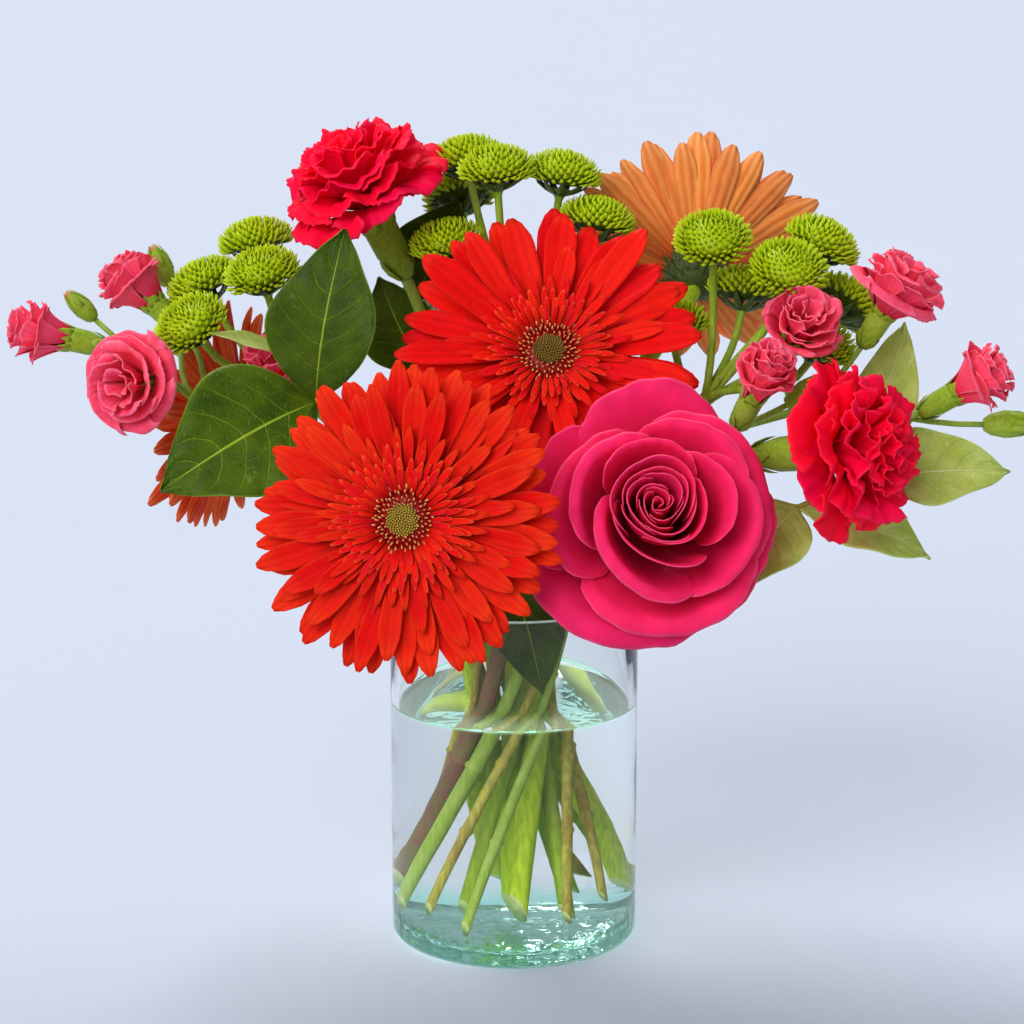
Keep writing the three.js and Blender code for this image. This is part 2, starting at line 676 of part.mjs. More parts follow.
// ---------------------------------------------------------------- lemon-leaf foliage
// An egg-shaped leaf from its base to its drawn-out tip, folded along its rib, bowed and waved.
const LEAF_OUTLINE = [0.06, 0.72, 1, 0.86, 0.5, 0.03]; // half-width at even steps along the rib
function leaf(from, { tip, face, width, bow = 4, fold = 0.18, wave = 0, rows = 4 }) {
  const rib = V(...tip).sub(from);
  const side = V(...face).cross(rib).normalize();
  const out = rib.clone().cross(side).normalize();
  const pointAt = (u, v) => {
    const half = (along(LEAF_OUTLINE, v) * width) / 2;
    const lift = bow * 4 * v * (1 - v) + fold * half * Math.abs(u) + wave * u * Math.sin(2 * Math.PI * v);
    const onRib = from.clone().addScaledVector(rib, v);
    return onRib.addScaledVector(side, -u * half).addScaledVector(out, lift);
  };
  return sheet(2, rows, pointAt, LEAF);
}

const TWIG = 1.7;
function foliage(name, { slot, foot, twig, pulls, drift, leaves }) {
  const [end, ...onward] = twig.map((p) => V(...p));
  const arrive = onward[0].clone().sub(end).normalize();
  const twigs = stem({ slot, foot, end, arrive, pulls, drift, onward }, TWIG, 5);
  const nodes = [end, ...onward];
  const blades = leaves.map((plan) => leaf(nodes[plan.node], plan));
  addMesh(name, geometryOf(fuse([twigs, ...blades].map(solid))), leafGreen);
}

// ---------------------------------------------------------------- the arrangement
// Each stem has a slot, its [radius, azimuth] in the bundle's plan at the vase's rim, and a foot, the
// height of its cut end.
vase();

gerbera("gerbera_front", {
  centre: [-41, -82, 189], axis: facing(-12, 12), material: scarletPetal,
  slot: [27, 212], foot: 11, pulls: [14, 26],
  petals: {
    radius: 61, count: 18, width: 16, cup: 0.02, seed: 11,
    outer: [1.6, 2.4, 2, 0], inner: [4.2, 6, 6.6, 5], crown: { reach: 17, rise: 6 },
  },
});
gerbera("gerbera_centre", {
  centre: [13.6, -18, 243], axis: facing(0, 32), material: redPetal,
  slot: [0, 0], foot: 9, pulls: [40, 26],
  petals: {
    radius: 63, count: 15, width: 18, cup: 0.04, seed: 12,
    outer: [1.6, 2.4, 2, 0], inner: [4.2, 6, 6.4, 5], crown: { reach: 13, rise: 5 },
  },
});
gerbera("gerbera_back", {
  centre: [75, 57, 269], axis: facing(176, 24), material: orangePetal,
  slot: [14, 30], foot: 12, pulls: [50, 14],
  petals: {
    radius: 55, count: 13, width: 17, cup: 0.34, seed: 13,
    outer: [1.6, 2.4, 2, 0.6], inner: [4.2, 5.8, 5.8, 5], crown: { reach: 13, rise: 4 },
  },
});
gerbera("gerbera_left", {
  centre: [-120, 56, 204], axis: facing(-116, 6), material: rustPetal,
  slot: [27, 120], foot: 14, pulls: [24, 36],
  petals: {
    radius: 50, count: 12, width: 16, cup: 0.2, seed: 14,
    outer: [1.6, 2.4, 0.6], inner: [4.2, 5.8, 5], crown: { reach: 12, rise: 4 }, rows: 2,
  },
});

rose("rose", { seat: [52, -50, 180], axis: facing(3, 27), slot: [27, 270], foot: 13, pulls: [10, 16] });

carnation("carnation_top", {
  seat: [-56, 34, 289], axis: V(-0.42, -0.24, 0.87), spin: 0.2, scale: 1.08,
  slot: [14, 150], foot: 15, pulls: [50, 40],
});
carnation("carnation_side", {
  seat: [116, -35, 206], axis: V(0.85, -0.5, 0.16), spin: 0.5, scale: 1.08,
  slot: [27, 300], foot: 9, pulls: [20, 26],
});

carnationSpray("spray_left", {
  slot: [27, 150], foot: 10, pulls: [24, 20], route: [[-84, -10, 203], [-126, -5, 221]],
  blooms: [
    { seat: [-176, -5, 246], axis: V(-0.95, -0.1, 0.25), open: 0.62, from: 1 },
    { seat: [-146, 28, 256], axis: V(-0.7, 0.15, 0.66), open: 0.75, from: 1 },
    { seat: [-143, -22, 231], axis: V(-0.42, -0.88, 0.12), open: 1, from: 1 },
    { seat: [-92, 3, 225], axis: V(-0.3, -0.35, 0.88), open: 0.62, from: 0 },
  ],
  buds: [
    { seat: [-167, 12, 251], axis: V(-0.72, 0, 0.7), length: 15, radius: 4.2, from: 1 },
    { seat: [-142, 49, 260], axis: V(-0.35, 0.1, 0.9), length: 17, radius: 5, from: 1 },
  ],
});
carnationSpray("spray_right", {
  slot: [27, 0], foot: 10, pulls: [24, 20], route: [[88, 6, 208], [118, -2, 218]],
  blooms: [
    { seat: [145, -8, 257], axis: V(0.5, -0.15, 0.85), open: 1, from: 1 },
    { seat: [109, -12, 247], axis: V(0.25, -0.7, 0.62), open: 0.78, from: 1 },
    { seat: [92, -34, 228], axis: V(0.35, -0.4, 0.85), open: 0.64, from: 0 },
    { seat: [174, -9, 225], axis: V(0.83, -0.1, 0.52), open: 0.72, from: 1 },
  ],
  buds: [
    { seat: [106, -22, 222], axis: V(0.86, -0.15, 0.5), length: 22, radius: 6, from: 0 },
    { seat: [186, -3, 211], axis: V(0.98, 0.02, 0.02), length: 21, radius: 5.6, from: 1 },
  ],
});

pomSpray("poms_left", {
  slot: [14, 210], foot: 12, fork: [-84, 24, 218], arrive: V(-0.62, 0.1, 0.78), pulls: [30, 30],
  heads: [
    { centre: [-106, 46, 281], axis: V(-0.2, 0.1, 0.97) },
    { centre: [-101, 17, 271], axis: V(-0.2, -0.25, 0.93) },
    { centre: [-127, 33, 265], axis: V(-0.45, 0, 0.9) },
    { centre: [-128, -5, 253], axis: V(-0.45, -0.4, 0.8) },
  ],
});
pomSpray("poms_top", {
  slot: [14, 90], foot: 10, fork: [2, 24, 232], arrive: V(0, 0.1, 1), pulls: [40, 30],
  heads: [
    { centre: [-20, 50, 314], axis: V(-0.2, 0.15, 0.97) },
    { centre: [-7, 24, 312], axis: V(-0.05, -0.12, 0.99) },
    { centre: [20, 36, 309], axis: V(0.15, 0, 0.98) },
    { centre: [-23, 72, 297], axis: V(-0.15, 0.5, 0.85) },
    { centre: [-27, 28, 282], axis: V(-0.15, -0.1, 0.97) },
    { centre: [34, 30, 291], axis: V(0.2, 0.1, 0.95) },
  ],
});
pomSpray("poms_right", {
  slot: [14, 330], foot: 12, fork: [76, 0, 222], arrive: V(0.5, -0.05, 0.86), pulls: [30, 24],
  heads: [
    { centre: [78, 2, 286], axis: V(-0.05, -0.45, 0.86) },
    { centre: [93, 22, 264], axis: V(0.15, 0.2, 0.9) },
    { centre: [108, -6, 275], axis: V(0.15, -0.5, 0.84) },
    { centre: [124, 18, 283], axis: V(0.45, -0.1, 0.86) },
    { centre: [136, 32, 256], axis: V(0.6, 0.4, 0.6) },
    { centre: [62, 14, 250], axis: V(-0.2, -0.2, 0.92) },
    { centre: [122, 4, 245], axis: V(0.4, -0.2, 0.85) },
  ],
});

foliage("foliage_left", {
  slot: [27, 180], foot: 16, twig: [[-64, -16, 208], [-76, -18, 222], [-90, -10, 240]], pulls: [24, 18],
  leaves: [
    { node: 1, tip: [-67, -7, 289], face: [-0.2, -0.95, 0.25], width: 44, bow: 5, rows: 5 },
    { node: 1, tip: [-136, -42, 193], face: [-0.1, -0.95, 0.35], width: 55, bow: 5, rows: 5 },
    { node: 2, tip: [-118, -18, 250], face: [-0.2, -0.5, 0.85], width: 9, bow: 1 },
  ],
});
foliage("foliage_centre", {
  slot: [27, 90], foot: 18, twig: [[-36, 48, 224], [-40, 53, 240], [-42, 55, 254]], pulls: [30, 22],
  leaves: [
    { node: 0, tip: [-56, 52, 263], face: [-0.2, -0.95, 0.2], width: 30 },
    { node: 2, tip: [-22, 54, 294], face: [0.1, -0.95, 0.1], width: 34, bow: 2 },
    { node: 1, tip: [-52, 97, 250], face: [-0.3, 0.4, 0.85], width: 38 },
  ],
});
foliage("foliage_right", {
  slot: [27, 330], foot: 14, twig: [[84, -24, 178], [112, -19, 181], [138, -8, 190]], pulls: [20, 20],
  leaves: [
    { node: 2, tip: [157, 26, 248], face: [-0.3, -0.9, 0.2], width: 28, bow: 2 },
    { node: 2, tip: [197, -4, 192], face: [0.05, -0.65, 0.75], width: 38, rows: 5 },
    { node: 1, tip: [164, -18, 159], face: [0.1, -0.6, 0.8], width: 32, wave: 3, rows: 5 },
    { node: 1, tip: [84, -46, 154], face: [0.1, -0.7, 0.7], width: 32 },
  ],
});
foliage("foliage_front", {
  slot: [29, 246], foot: 16, twig: [[-4, -37, 172], [-3, -35, 189]], pulls: [10, 8],
  leaves: [
    { node: 0, tip: [12, -38, 102], face: [0, -0.99, 0.1], width: 28, bow: 0.5, fold: 0.1 },
    { node: 1, tip: [0, -27, 214], face: [0.1, -0.95, 0.1], width: 20, bow: 2 },
  ],
});
foliage("foliage_back", {
  slot: [27, 60], foot: 14, twig: [[22, 54, 190], [28, 66, 206], [30, 74, 224]], pulls: [24, 20],
  leaves: [
    { node: 0, tip: [-26, 92, 204], face: [-0.2, 0.5, 0.85], width: 42, bow: 5 },
    { node: 1, tip: [74, 98, 204], face: [0.2, 0.5, 0.85], width: 42, bow: 5 },
    { node: 2, tip: [26, 100, 268], face: [0, 0.8, 0.5], width: 38 },
  ],
});

waterInVase();

export default bouquet;
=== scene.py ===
# %% [markdown]
# # Gerberas in a glass vase
# A hand-tied bouquet stands in a clear cylinder vase: four gerberas, a rose, two carnations, two
# sprays of small carnations, three sprays of green button chrysanthemums and five leafy twigs.
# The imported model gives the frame: its size, its places and the plain solids. Each solid is
# replaced here by a finer piece in the same place. Shapes are modelled in millimetres, as a florist
# would measure them, and scaled to metres when a piece is finished.

# %% Load the frame
import math
import random

import bmesh
import bpy
from mathutils import Matrix, Vector


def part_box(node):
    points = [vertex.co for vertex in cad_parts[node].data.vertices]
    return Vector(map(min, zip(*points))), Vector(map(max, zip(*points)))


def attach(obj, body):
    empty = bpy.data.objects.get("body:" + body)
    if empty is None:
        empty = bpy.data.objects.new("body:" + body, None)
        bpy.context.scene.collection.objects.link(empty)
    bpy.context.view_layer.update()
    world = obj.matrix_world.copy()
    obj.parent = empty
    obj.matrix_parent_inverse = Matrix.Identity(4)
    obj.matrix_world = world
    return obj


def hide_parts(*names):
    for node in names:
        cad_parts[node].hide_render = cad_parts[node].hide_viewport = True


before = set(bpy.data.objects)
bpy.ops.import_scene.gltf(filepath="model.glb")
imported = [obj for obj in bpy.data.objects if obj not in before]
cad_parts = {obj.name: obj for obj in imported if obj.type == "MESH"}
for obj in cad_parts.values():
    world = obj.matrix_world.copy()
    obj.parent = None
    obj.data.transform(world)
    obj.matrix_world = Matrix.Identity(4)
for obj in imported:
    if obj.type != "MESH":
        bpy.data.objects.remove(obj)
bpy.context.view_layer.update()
MM = 0.001
UP = Vector((0, 0, 1))
print("nodes in the frame:", len(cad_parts))

# %% [markdown]
# ## The camera
# The photograph was taken from about a metre away, a little above the blooms, with a long lens
# that looks slightly down. A long lens keeps the vase's sides straight and its ellipses slim.

# %% Camera
CAMERA_PLACE = Vector((-0.8, -1067, 396)) * MM
CAMERA_PITCH = 11.7  # degrees below the horizon
LENS = 95.8  # millimetres, on a sensor 36 mm wide

camera = bpy.data.objects.new("camera", bpy.data.cameras.new("camera"))
bpy.context.scene.collection.objects.link(camera)
camera.location = CAMERA_PLACE
camera.rotation_euler = (math.radians(90 - CAMERA_PITCH), 0, 0)
camera.data.lens = LENS
camera.data.sensor_width = 36
camera.data.clip_start = 0.05  # metres
bpy.context.scene.camera = camera
print("camera at", tuple(round(c, 3) for c in camera.location))

# %% [markdown]
# ## Light and floor
# Two wide suns are as even as a studio's softboxes, and their light doesn't fall off across a large
# floor, so the pale ground stays one tone up to the top of the picture. Area lights would do for
# the bouquet, but their pools would show on the ground. The sun behind the vase makes the glass and
# water glow and drops the soft shadow towards the viewer. The one in front lights the blooms' faces.

# %% Light and floor
SKY_COLOUR = (0.86, 0.92, 1.0)
SKY_STRENGTH = 0.40
FLOOR_COLOUR = (0.565, 0.61, 0.71)


def add_light(name, kind, energy, turn, place=(0, 0, 0), **settings):
    """A light turned by degrees. A sun's energy is in watts a square metre, another's in watts."""
    light = bpy.data.lights.new(name, kind)
    light.energy = energy
    for key, value in settings.items():
        setattr(light, key, value)
    holder = bpy.data.objects.new(name, light)
    holder.location = place
    holder.rotation_euler = [math.radians(a) for a in turn]
    bpy.context.scene.collection.objects.link(holder)


add_light("back_sun", "SUN", 2.1, (-34, 0, 24), angle=math.radians(32))
add_light("front_sun", "SUN", 2.15, (60, 0, -32), angle=math.radians(46))
# Real glass and water gather light under the vase. This faint disc lies there in their place.
add_light("glow_under_vase", "AREA", 0.008, (180, 0, 0), (0, 0, 0.0004), shape="DISK", size=0.078)

world = bpy.data.worlds.new("studio")
world.use_nodes = True
world.node_tree.nodes["Background"].inputs["Color"].default_value = (*SKY_COLOUR, 1)
world.node_tree.nodes["Background"].inputs["Strength"].default_value = SKY_STRENGTH
bpy.context.scene.world = world
bpy.context.scene.view_settings.view_transform = "Standard"

# %% [markdown]
# ## Shader helpers
# Every material is a Principled shader fed by nodes. The nodes could be dragged together by hand in
# the editor. A script needs a line for each node and each link, so a few helpers keep the recipes
# short: they make a node with its inputs filled, and start a node group with named sockets.


# %% Shader helpers
def add_node(tree, kind, inputs=None, **settings):
    """A node of that kind. An input is filled from a socket, or from a plain value."""
    node = tree.nodes.new(kind)
    for key, value in settings.items():
        setattr(node, key, value)
    for key, value in (inputs or {}).items():
        if isinstance(value, bpy.types.NodeSocket):
            tree.links.new(value, node.inputs[key])
        else:
            node.inputs[key].default_value = value
    return node


def maths(tree, operation, *values):
    """The result of a sum or a function of sockets and plain values."""
    inputs = dict(enumerate(values))
    return add_node(tree, "ShaderNodeMath", inputs, operation=operation).outputs[0]


def ramp_between(tree, value, low, high, to_low=0.0, to_high=1.0):
    """A smooth step: to_low below low, to_high above high."""
    inputs = {0: value, 1: low, 2: high, 3: to_low, 4: to_high}
    return add_node(tree, "ShaderNodeMapRange", inputs, interpolation_type="SMOOTHSTEP").outputs[0]


def mix_colours(tree, factor, first, second):
    """The first colour where the factor is 0, the second where it is 1."""
    node = add_node(tree, "ShaderNodeMix", data_type="RGBA")
    for key, value in ((0, factor), (6, first), (7, second)):
        if isinstance(value, bpy.types.NodeSocket):
            tree.links.new(value, node.inputs[key])
        else:
            node.inputs[key].default_value = value
    return node.outputs[2]


def colour(red, green, blue):
    """A colour with the full alpha that a colour socket wants."""
    return (red, green, blue, 1.0)


def object_place(tree):
    """The place on the piece, in metres, so that a pattern stays put when the piece is copied."""
    return add_node(tree, "ShaderNodeTexCoord").outputs["Object"]


def noise(tree, place, scale, detail):
    """An uneven value round 0.5 that changes over the piece. A larger scale makes it finer."""
    inputs = {"Vector": place, "Scale": scale, "Detail": detail}
    return add_node(tree, "ShaderNodeTexNoise", inputs).outputs[0]


def new_group(name, inputs, outputs):
    """An empty node group with named sockets: its tree, its inputs and the node that takes its outputs."""
    tree = bpy.data.node_groups.new(name, "ShaderNodeTree")
    kinds = {"colour": "NodeSocketColor", "value": "NodeSocketFloat"}
    for title, kind in inputs:
        tree.interface.new_socket(title, in_out="INPUT", socket_type=kinds[kind])
    for title, kind in outputs:
        tree.interface.new_socket(title, in_out="OUTPUT", socket_type=kinds[kind])
    start = tree.nodes.new("NodeGroupInput")
    end = tree.nodes.new("NodeGroupOutput")
    return tree, start.outputs, end


def new_material(name, **settings):
    """A material with one Principled shader, whose plain numbers are set on its own sockets."""
    material = bpy.data.materials.new(name)
    material.use_nodes = True
    shader = material.node_tree.nodes["Principled BSDF"]
    for key, value in settings.items():
        shader.inputs[key.replace("_", " ")].default_value = value
    return material, material.node_tree, shader


def add_bump(tree, shader, height, distance, strength):
    """Lets the height tilt the surface's light, as dents as deep as the distance would."""
    bump = add_node(tree, "ShaderNodeBump", {"Height": height, "Strength": strength, "Distance": distance})
    tree.links.new(bump.outputs[0], shader.inputs["Normal"])


print("shader helpers ready")

# %% [markdown]
# ## What all petals share
# A petal is darker at its root, paler along its edge, and veined lengthwise. The pattern follows
# the petal, so it reads the petal's UV map: U runs across and V from root to edge. Each petal also
# carries a number of its own, "tone", so that no two have quite the same colour.

# %% Petal surface group
tree, given, result = new_group(
    "petal_surface",
    [("Root Colour", "colour"), ("Body Colour", "colour"), ("Edge Colour", "colour"),
     ("Root Reach", "value"), ("Edge Width", "value"), ("Edge Strength", "value"),
     ("Veins", "value"), ("Vein Depth", "value"), ("Variation", "value")],
    [("Colour", "colour"), ("Height", "value"), ("Roughness", "value")])
uv = add_node(tree, "ShaderNodeUVMap", uv_map="UVMap").outputs[0]
parts = add_node(tree, "ShaderNodeSeparateXYZ", {0: uv}).outputs
across, lengthwise = parts[0], parts[1]
tone = add_node(tree, "ShaderNodeAttribute", attribute_name="tone").outputs["Fac"]
mottle = noise(tree, object_place(tree), 140.0, 3.0)
from_middle = maths(tree, "ABSOLUTE", maths(tree, "MULTIPLY_ADD", across, 2.0, -1.0))
edge_start = maths(tree, "SUBTRACT", 1.0, given["Edge Width"])
side_edge = ramp_between(tree, from_middle, edge_start, 1.0)
far_edge = ramp_between(tree, lengthwise, edge_start, 1.0)
outline = maths(tree, "MAXIMUM", side_edge, far_edge)
edge = maths(tree, "MULTIPLY", outline, given["Edge Strength"])
root = ramp_between(tree, lengthwise, 0.0, given["Root Reach"], 1.0, 0.0)
vein_turns = maths(tree, "MULTIPLY", given["Veins"], 2 * math.pi)
wander = maths(tree, "MULTIPLY_ADD", mottle, 3.0, maths(tree, "MULTIPLY", across, vein_turns))
veins = maths(tree, "MULTIPLY_ADD", maths(tree, "SINE", wander), 0.5, 0.5)
base = mix_colours(tree, root, given["Body Colour"], given["Root Colour"])
edged = mix_colours(tree, edge, base, given["Edge Colour"])
vein_shade = maths(tree, "MULTIPLY", maths(tree, "MULTIPLY", veins, given["Vein Depth"]), 0.55)
veined = mix_colours(tree, vein_shade, edged, given["Root Colour"])
drift = maths(tree, "MULTIPLY", maths(tree, "SUBTRACT", tone, 0.5), given["Variation"])
speckle = maths(tree, "MULTIPLY", maths(tree, "SUBTRACT", mottle, 0.5), 0.35)
bright = maths(tree, "ADD", 1.0, maths(tree, "ADD", drift, speckle))
hue = maths(tree, "MULTIPLY_ADD", drift, 0.03, 0.5)
toned = add_node(tree, "ShaderNodeHueSaturation", {"Hue": hue, "Value": bright, "Color": veined})
height = maths(tree, "MULTIPLY", veins, given["Vein Depth"])
tree.links.new(toned.outputs[0], result.inputs["Colour"])
tree.links.new(maths(tree, "MULTIPLY_ADD", mottle, 0.4, height), result.inputs["Height"])
tree.links.new(maths(tree, "MULTIPLY_ADD", mottle, 0.3, 0.42), result.inputs["Roughness"])
petal_group = tree
print("group:", petal_group.name)

# %% [markdown]
# ## The petals' colours
# The bouquet has seven petal finishes, from the scarlet gerbera to the pink sprays. Seven materials
# could be built one by one. One recipe with a few numbers keeps them alike: three colours, and how
# strong the edge, the veins and the change from petal to petal are. A petal is so thin that light
# passes into it, so a little of it scatters below the surface.


# %% Petal materials
def petal_material(name, root, body, edge, veins, vein_depth, variation, reach=0.3, edge_width=0.2,
                   edge_strength=0.5, glow=0.1):
    """Petals coloured from root to body and along the edge, with veins, and a share of inner glow."""
    material, tree, shader = new_material(
        name, Specular_IOR_Level=0.06, Subsurface_Weight=glow, Subsurface_Scale=0.001)
    shader.inputs["Subsurface Radius"].default_value = (1.0, 0.25, 0.15)
    group = add_node(tree, "ShaderNodeGroup", node_tree=petal_group)
    values = {"Root Colour": root, "Body Colour": body, "Edge Colour": edge, "Root Reach": reach,
              "Edge Width": edge_width, "Edge Strength": edge_strength, "Veins": veins,
              "Vein Depth": vein_depth, "Variation": variation}
    for key, value in values.items():
        group.inputs[key].default_value = value
    tree.links.new(group.outputs["Colour"], shader.inputs["Base Color"])
    tree.links.new(group.outputs["Roughness"], shader.inputs["Roughness"])
    add_bump(tree, shader, group.outputs["Height"], 0.0005, 0.6)
    return material


SCARLET = petal_material("scarlet_petal", colour(0.40, 0.0, 0.002), colour(0.78, 0.009, 0.002),
                         colour(0.92, 0.052, 0.009), 3.0, 0.45, 0.10, reach=0.7, edge_width=0.24)
RED = petal_material("red_petal", colour(0.46, 0.0, 0.002), colour(0.88, 0.006, 0.004),
                     colour(0.90, 0.035, 0.016), 3.0, 0.5, 0.12, reach=0.5, edge_width=0.14)
ORANGE = petal_material("orange_petal", colour(0.76, 0.12, 0.015), colour(0.97, 0.32, 0.075),
                        colour(1.0, 0.48, 0.19), 3.0, 1.0, 0.24, reach=0.45, edge_width=0.3)
RUST = petal_material("rust_petal", colour(0.46, 0.012, 0.003), colour(0.84, 0.075, 0.014),
                      colour(0.92, 0.26, 0.10), 3.0, 0.9, 0.35, reach=0.5)
FILAMENT = petal_material("trans_floret", colour(0.46, 0.0, 0.002), colour(0.80, 0.004, 0.003),
                          colour(0.93, 0.13, 0.035), 1.0, 0.1, 0.14, reach=0.8, edge_width=0.12)
# The rose's dark root reaches far up its petals and darkens the deep heart: the petals' own colour and
# painted shade.
ROSE_PINK = petal_material("rose_petal", colour(0.36, 0.0, 0.012), colour(0.92, 0.020, 0.125),
                           colour(1.0, 0.13, 0.26), 9.0, 0.10, 0.12, reach=0.85, edge_width=0.035,
                           glow=0.15)
CARMINE = petal_material("carnation_petal", colour(0.76, 0.0, 0.018), colour(1.0, 0.003, 0.046),
                         colour(1.0, 0.035, 0.09), 6.0, 0.25, 0.2, reach=0.4, edge_width=0.1,
                         edge_strength=0.25, glow=0.25)
CORAL = petal_material("spray_petal", colour(0.84, 0.016, 0.06), colour(1.0, 0.085, 0.17),
                       colour(1.0, 0.26, 0.36), 6.0, 0.35, 0.18, reach=0.4, edge_width=0.18,
                       glow=0.25)
print("petal materials made")

# %% [markdown]
# ## Small repeated forms
# Florets, buds and hairs are tiny closed forms, too small for a pattern of their own. Their colour
# only changes from foot to tip, so "tone" holds the share of the way along them, and one recipe
# colours them all. A UV map could do the same, but it would need an unwrap for each tiny form.


# %% Floret materials
def floret_material(name, low, high, turn=0.5, roughness=0.45, vary=0.25):
    """Coloured from low at the foot to high at the tip, with a soft change at turn."""
    material, tree, shader = new_material(name, Roughness=roughness, Specular_IOR_Level=0.2,
                                          Subsurface_Weight=0.08, Subsurface_Scale=0.001)
    share = add_node(tree, "ShaderNodeAttribute", attribute_name="tone").outputs["Fac"]
    mottle = noise(tree, object_place(tree), 260.0, 2.0)
    blend = ramp_between(tree, share, turn - 0.3, turn + 0.3)
    mixed = mix_colours(tree, blend, low, high)
    value = maths(tree, "MULTIPLY_ADD", mottle, 2 * vary, 1 - vary)
    toned = add_node(tree, "ShaderNodeHueSaturation", {"Value": value, "Color": mixed})
    tree.links.new(toned.outputs[0], shader.inputs["Base Color"])
    add_bump(tree, shader, mottle, 0.0003, 0.5)
    return material


GOLD_TIPPED = floret_material("gold_tipped_floret", colour(0.34, 0.0, 0.002),
                              colour(0.95, 0.56, 0.16), turn=0.84)
EYE_OLIVE = floret_material("olive_eye", colour(0.16, 0.09, 0.006), colour(0.54, 0.37, 0.05), roughness=0.7)
EYE_BROWN = floret_material("brown_eye", colour(0.09, 0.04, 0.004), colour(0.30, 0.19, 0.03), roughness=0.7)
# The buttons' florets are painted dark towards their feet: painted shade deep in the head.
POM_LIME = floret_material("pom_floret", colour(0.055, 0.090, 0.002), colour(0.49, 0.63, 0.004), turn=0.42)
HAIR = floret_material("silver_hair", colour(0.24, 0.28, 0.14), colour(0.50, 0.54, 0.34), roughness=0.7)
print("floret materials made")

# %% [markdown]
# ## Stem surface
# Stems are streaked along their length, with patches where the green turns yellow or brown. The
# streaks could follow a UV map along each stem. Most stems stand nearly upright, so it is simpler
# to squeeze a noise pattern's height: it then stretches into upright streaks on all of them.

# %% Stem group
tree, given, result = new_group(
    "stem_surface",
    [("Colour", "colour"), ("Streak Colour", "colour"), ("Blush Colour", "colour"), ("Blush", "value"),
     ("Upright Scale", "value")],
    [("Colour", "colour"), ("Height", "value")])
place = object_place(tree)
squeeze = add_node(tree, "ShaderNodeCombineXYZ", {0: 1.0, 1: 1.0, 2: given["Upright Scale"]}).outputs[0]
squeezed = add_node(tree, "ShaderNodeVectorMath", {0: place, 1: squeeze}, operation="MULTIPLY").outputs[0]
streaks = noise(tree, squeezed, 700.0, 3.0)
patches = noise(tree, place, 45.0, 2.0)
streak_mask = ramp_between(tree, streaks, 0.42, 0.62)
streaked = mix_colours(tree, streak_mask, given["Colour"], given["Streak Colour"])
blush_mask = maths(tree, "MULTIPLY", ramp_between(tree, patches, 0.45, 0.7), given["Blush"])
blushed = mix_colours(tree, blush_mask, streaked, given["Blush Colour"])
tree.links.new(blushed, result.inputs["Colour"])
tree.links.new(streaks, result.inputs["Height"])
stem_group = tree
print("group:", stem_group.name)

# %% [markdown]
# ## The greens
# Each kind of stem has its own green: gerberas a bright lime, carnations a blue-grey one, the rose
# and the leafy twigs go brown. All of them are the stem group with other colours. Cups and calyxes
# lie at every angle, so their pattern isn't squeezed.

# %% Stem materials
def stem_material(name, green, streak, blush, blush_share=0.3, roughness=0.42, upright_scale=0.12):
    """A green with streaks, and patches of blush as strong as blush_share."""
    material, tree, shader = new_material(name, Roughness=roughness, Specular_IOR_Level=0.1,
                                          Subsurface_Weight=0.06, Subsurface_Scale=0.001)
    group = add_node(tree, "ShaderNodeGroup", node_tree=stem_group)
    values = {"Colour": green, "Streak Colour": streak, "Blush Colour": blush, "Blush": blush_share,
              "Upright Scale": upright_scale}
    for key, value in values.items():
        group.inputs[key].default_value = value
    tree.links.new(group.outputs["Colour"], shader.inputs["Base Color"])
    add_bump(tree, shader, group.outputs["Height"], 0.0003, 0.5)
    return material


LIME_STEM = stem_material("gerbera_stem", colour(0.48, 0.64, 0.030), colour(0.34, 0.50, 0.018),
                          colour(0.58, 0.68, 0.10))
GREY_STEM = stem_material("carnation_stem", colour(0.25, 0.39, 0.045), colour(0.34, 0.46, 0.08),
                          colour(0.40, 0.48, 0.14))
CALYX_GREEN = stem_material("calyx", colour(0.29, 0.42, 0.028), colour(0.22, 0.34, 0.020),
                            colour(0.42, 0.48, 0.11), upright_scale=1.0)
BRACT_GREEN = stem_material("gerbera_bract", colour(0.075, 0.12, 0.024), colour(0.05, 0.085, 0.018),
                            colour(0.13, 0.17, 0.06), upright_scale=1.0)
POM_STEM_GREEN = stem_material("pom_stem", colour(0.26, 0.40, 0.026), colour(0.36, 0.50, 0.05),
                               colour(0.38, 0.36, 0.09))
ROSE_STEM_GREEN = stem_material("rose_stem", colour(0.17, 0.15, 0.05), colour(0.22, 0.10, 0.06),
                                colour(0.30, 0.12, 0.08), 0.7)
CUT_PITH = stem_material("cut_pith", colour(0.55, 0.62, 0.25), colour(0.45, 0.54, 0.16),
                         colour(0.62, 0.66, 0.36))
TWIG_BARK = stem_material("twig_bark", colour(0.34, 0.30, 0.05), colour(0.48, 0.43, 0.08),
                          colour(0.22, 0.09, 0.03), 0.5, 0.6)
print("stem materials made")

# %% [markdown]
# ## Leaf surface
# A lemon leaf is glossy and leathery, with a pale rib, side veins that run out and forward, and a
# fine net between them. A picture of a leaf could be laid on it. Drawn by nodes on the leaf's UV map,
# the veins stay sharp at any size: a saw wave gives the side veins, a power of the distance from the
# rib bends them forward, and the borders of a Voronoi pattern give the net.

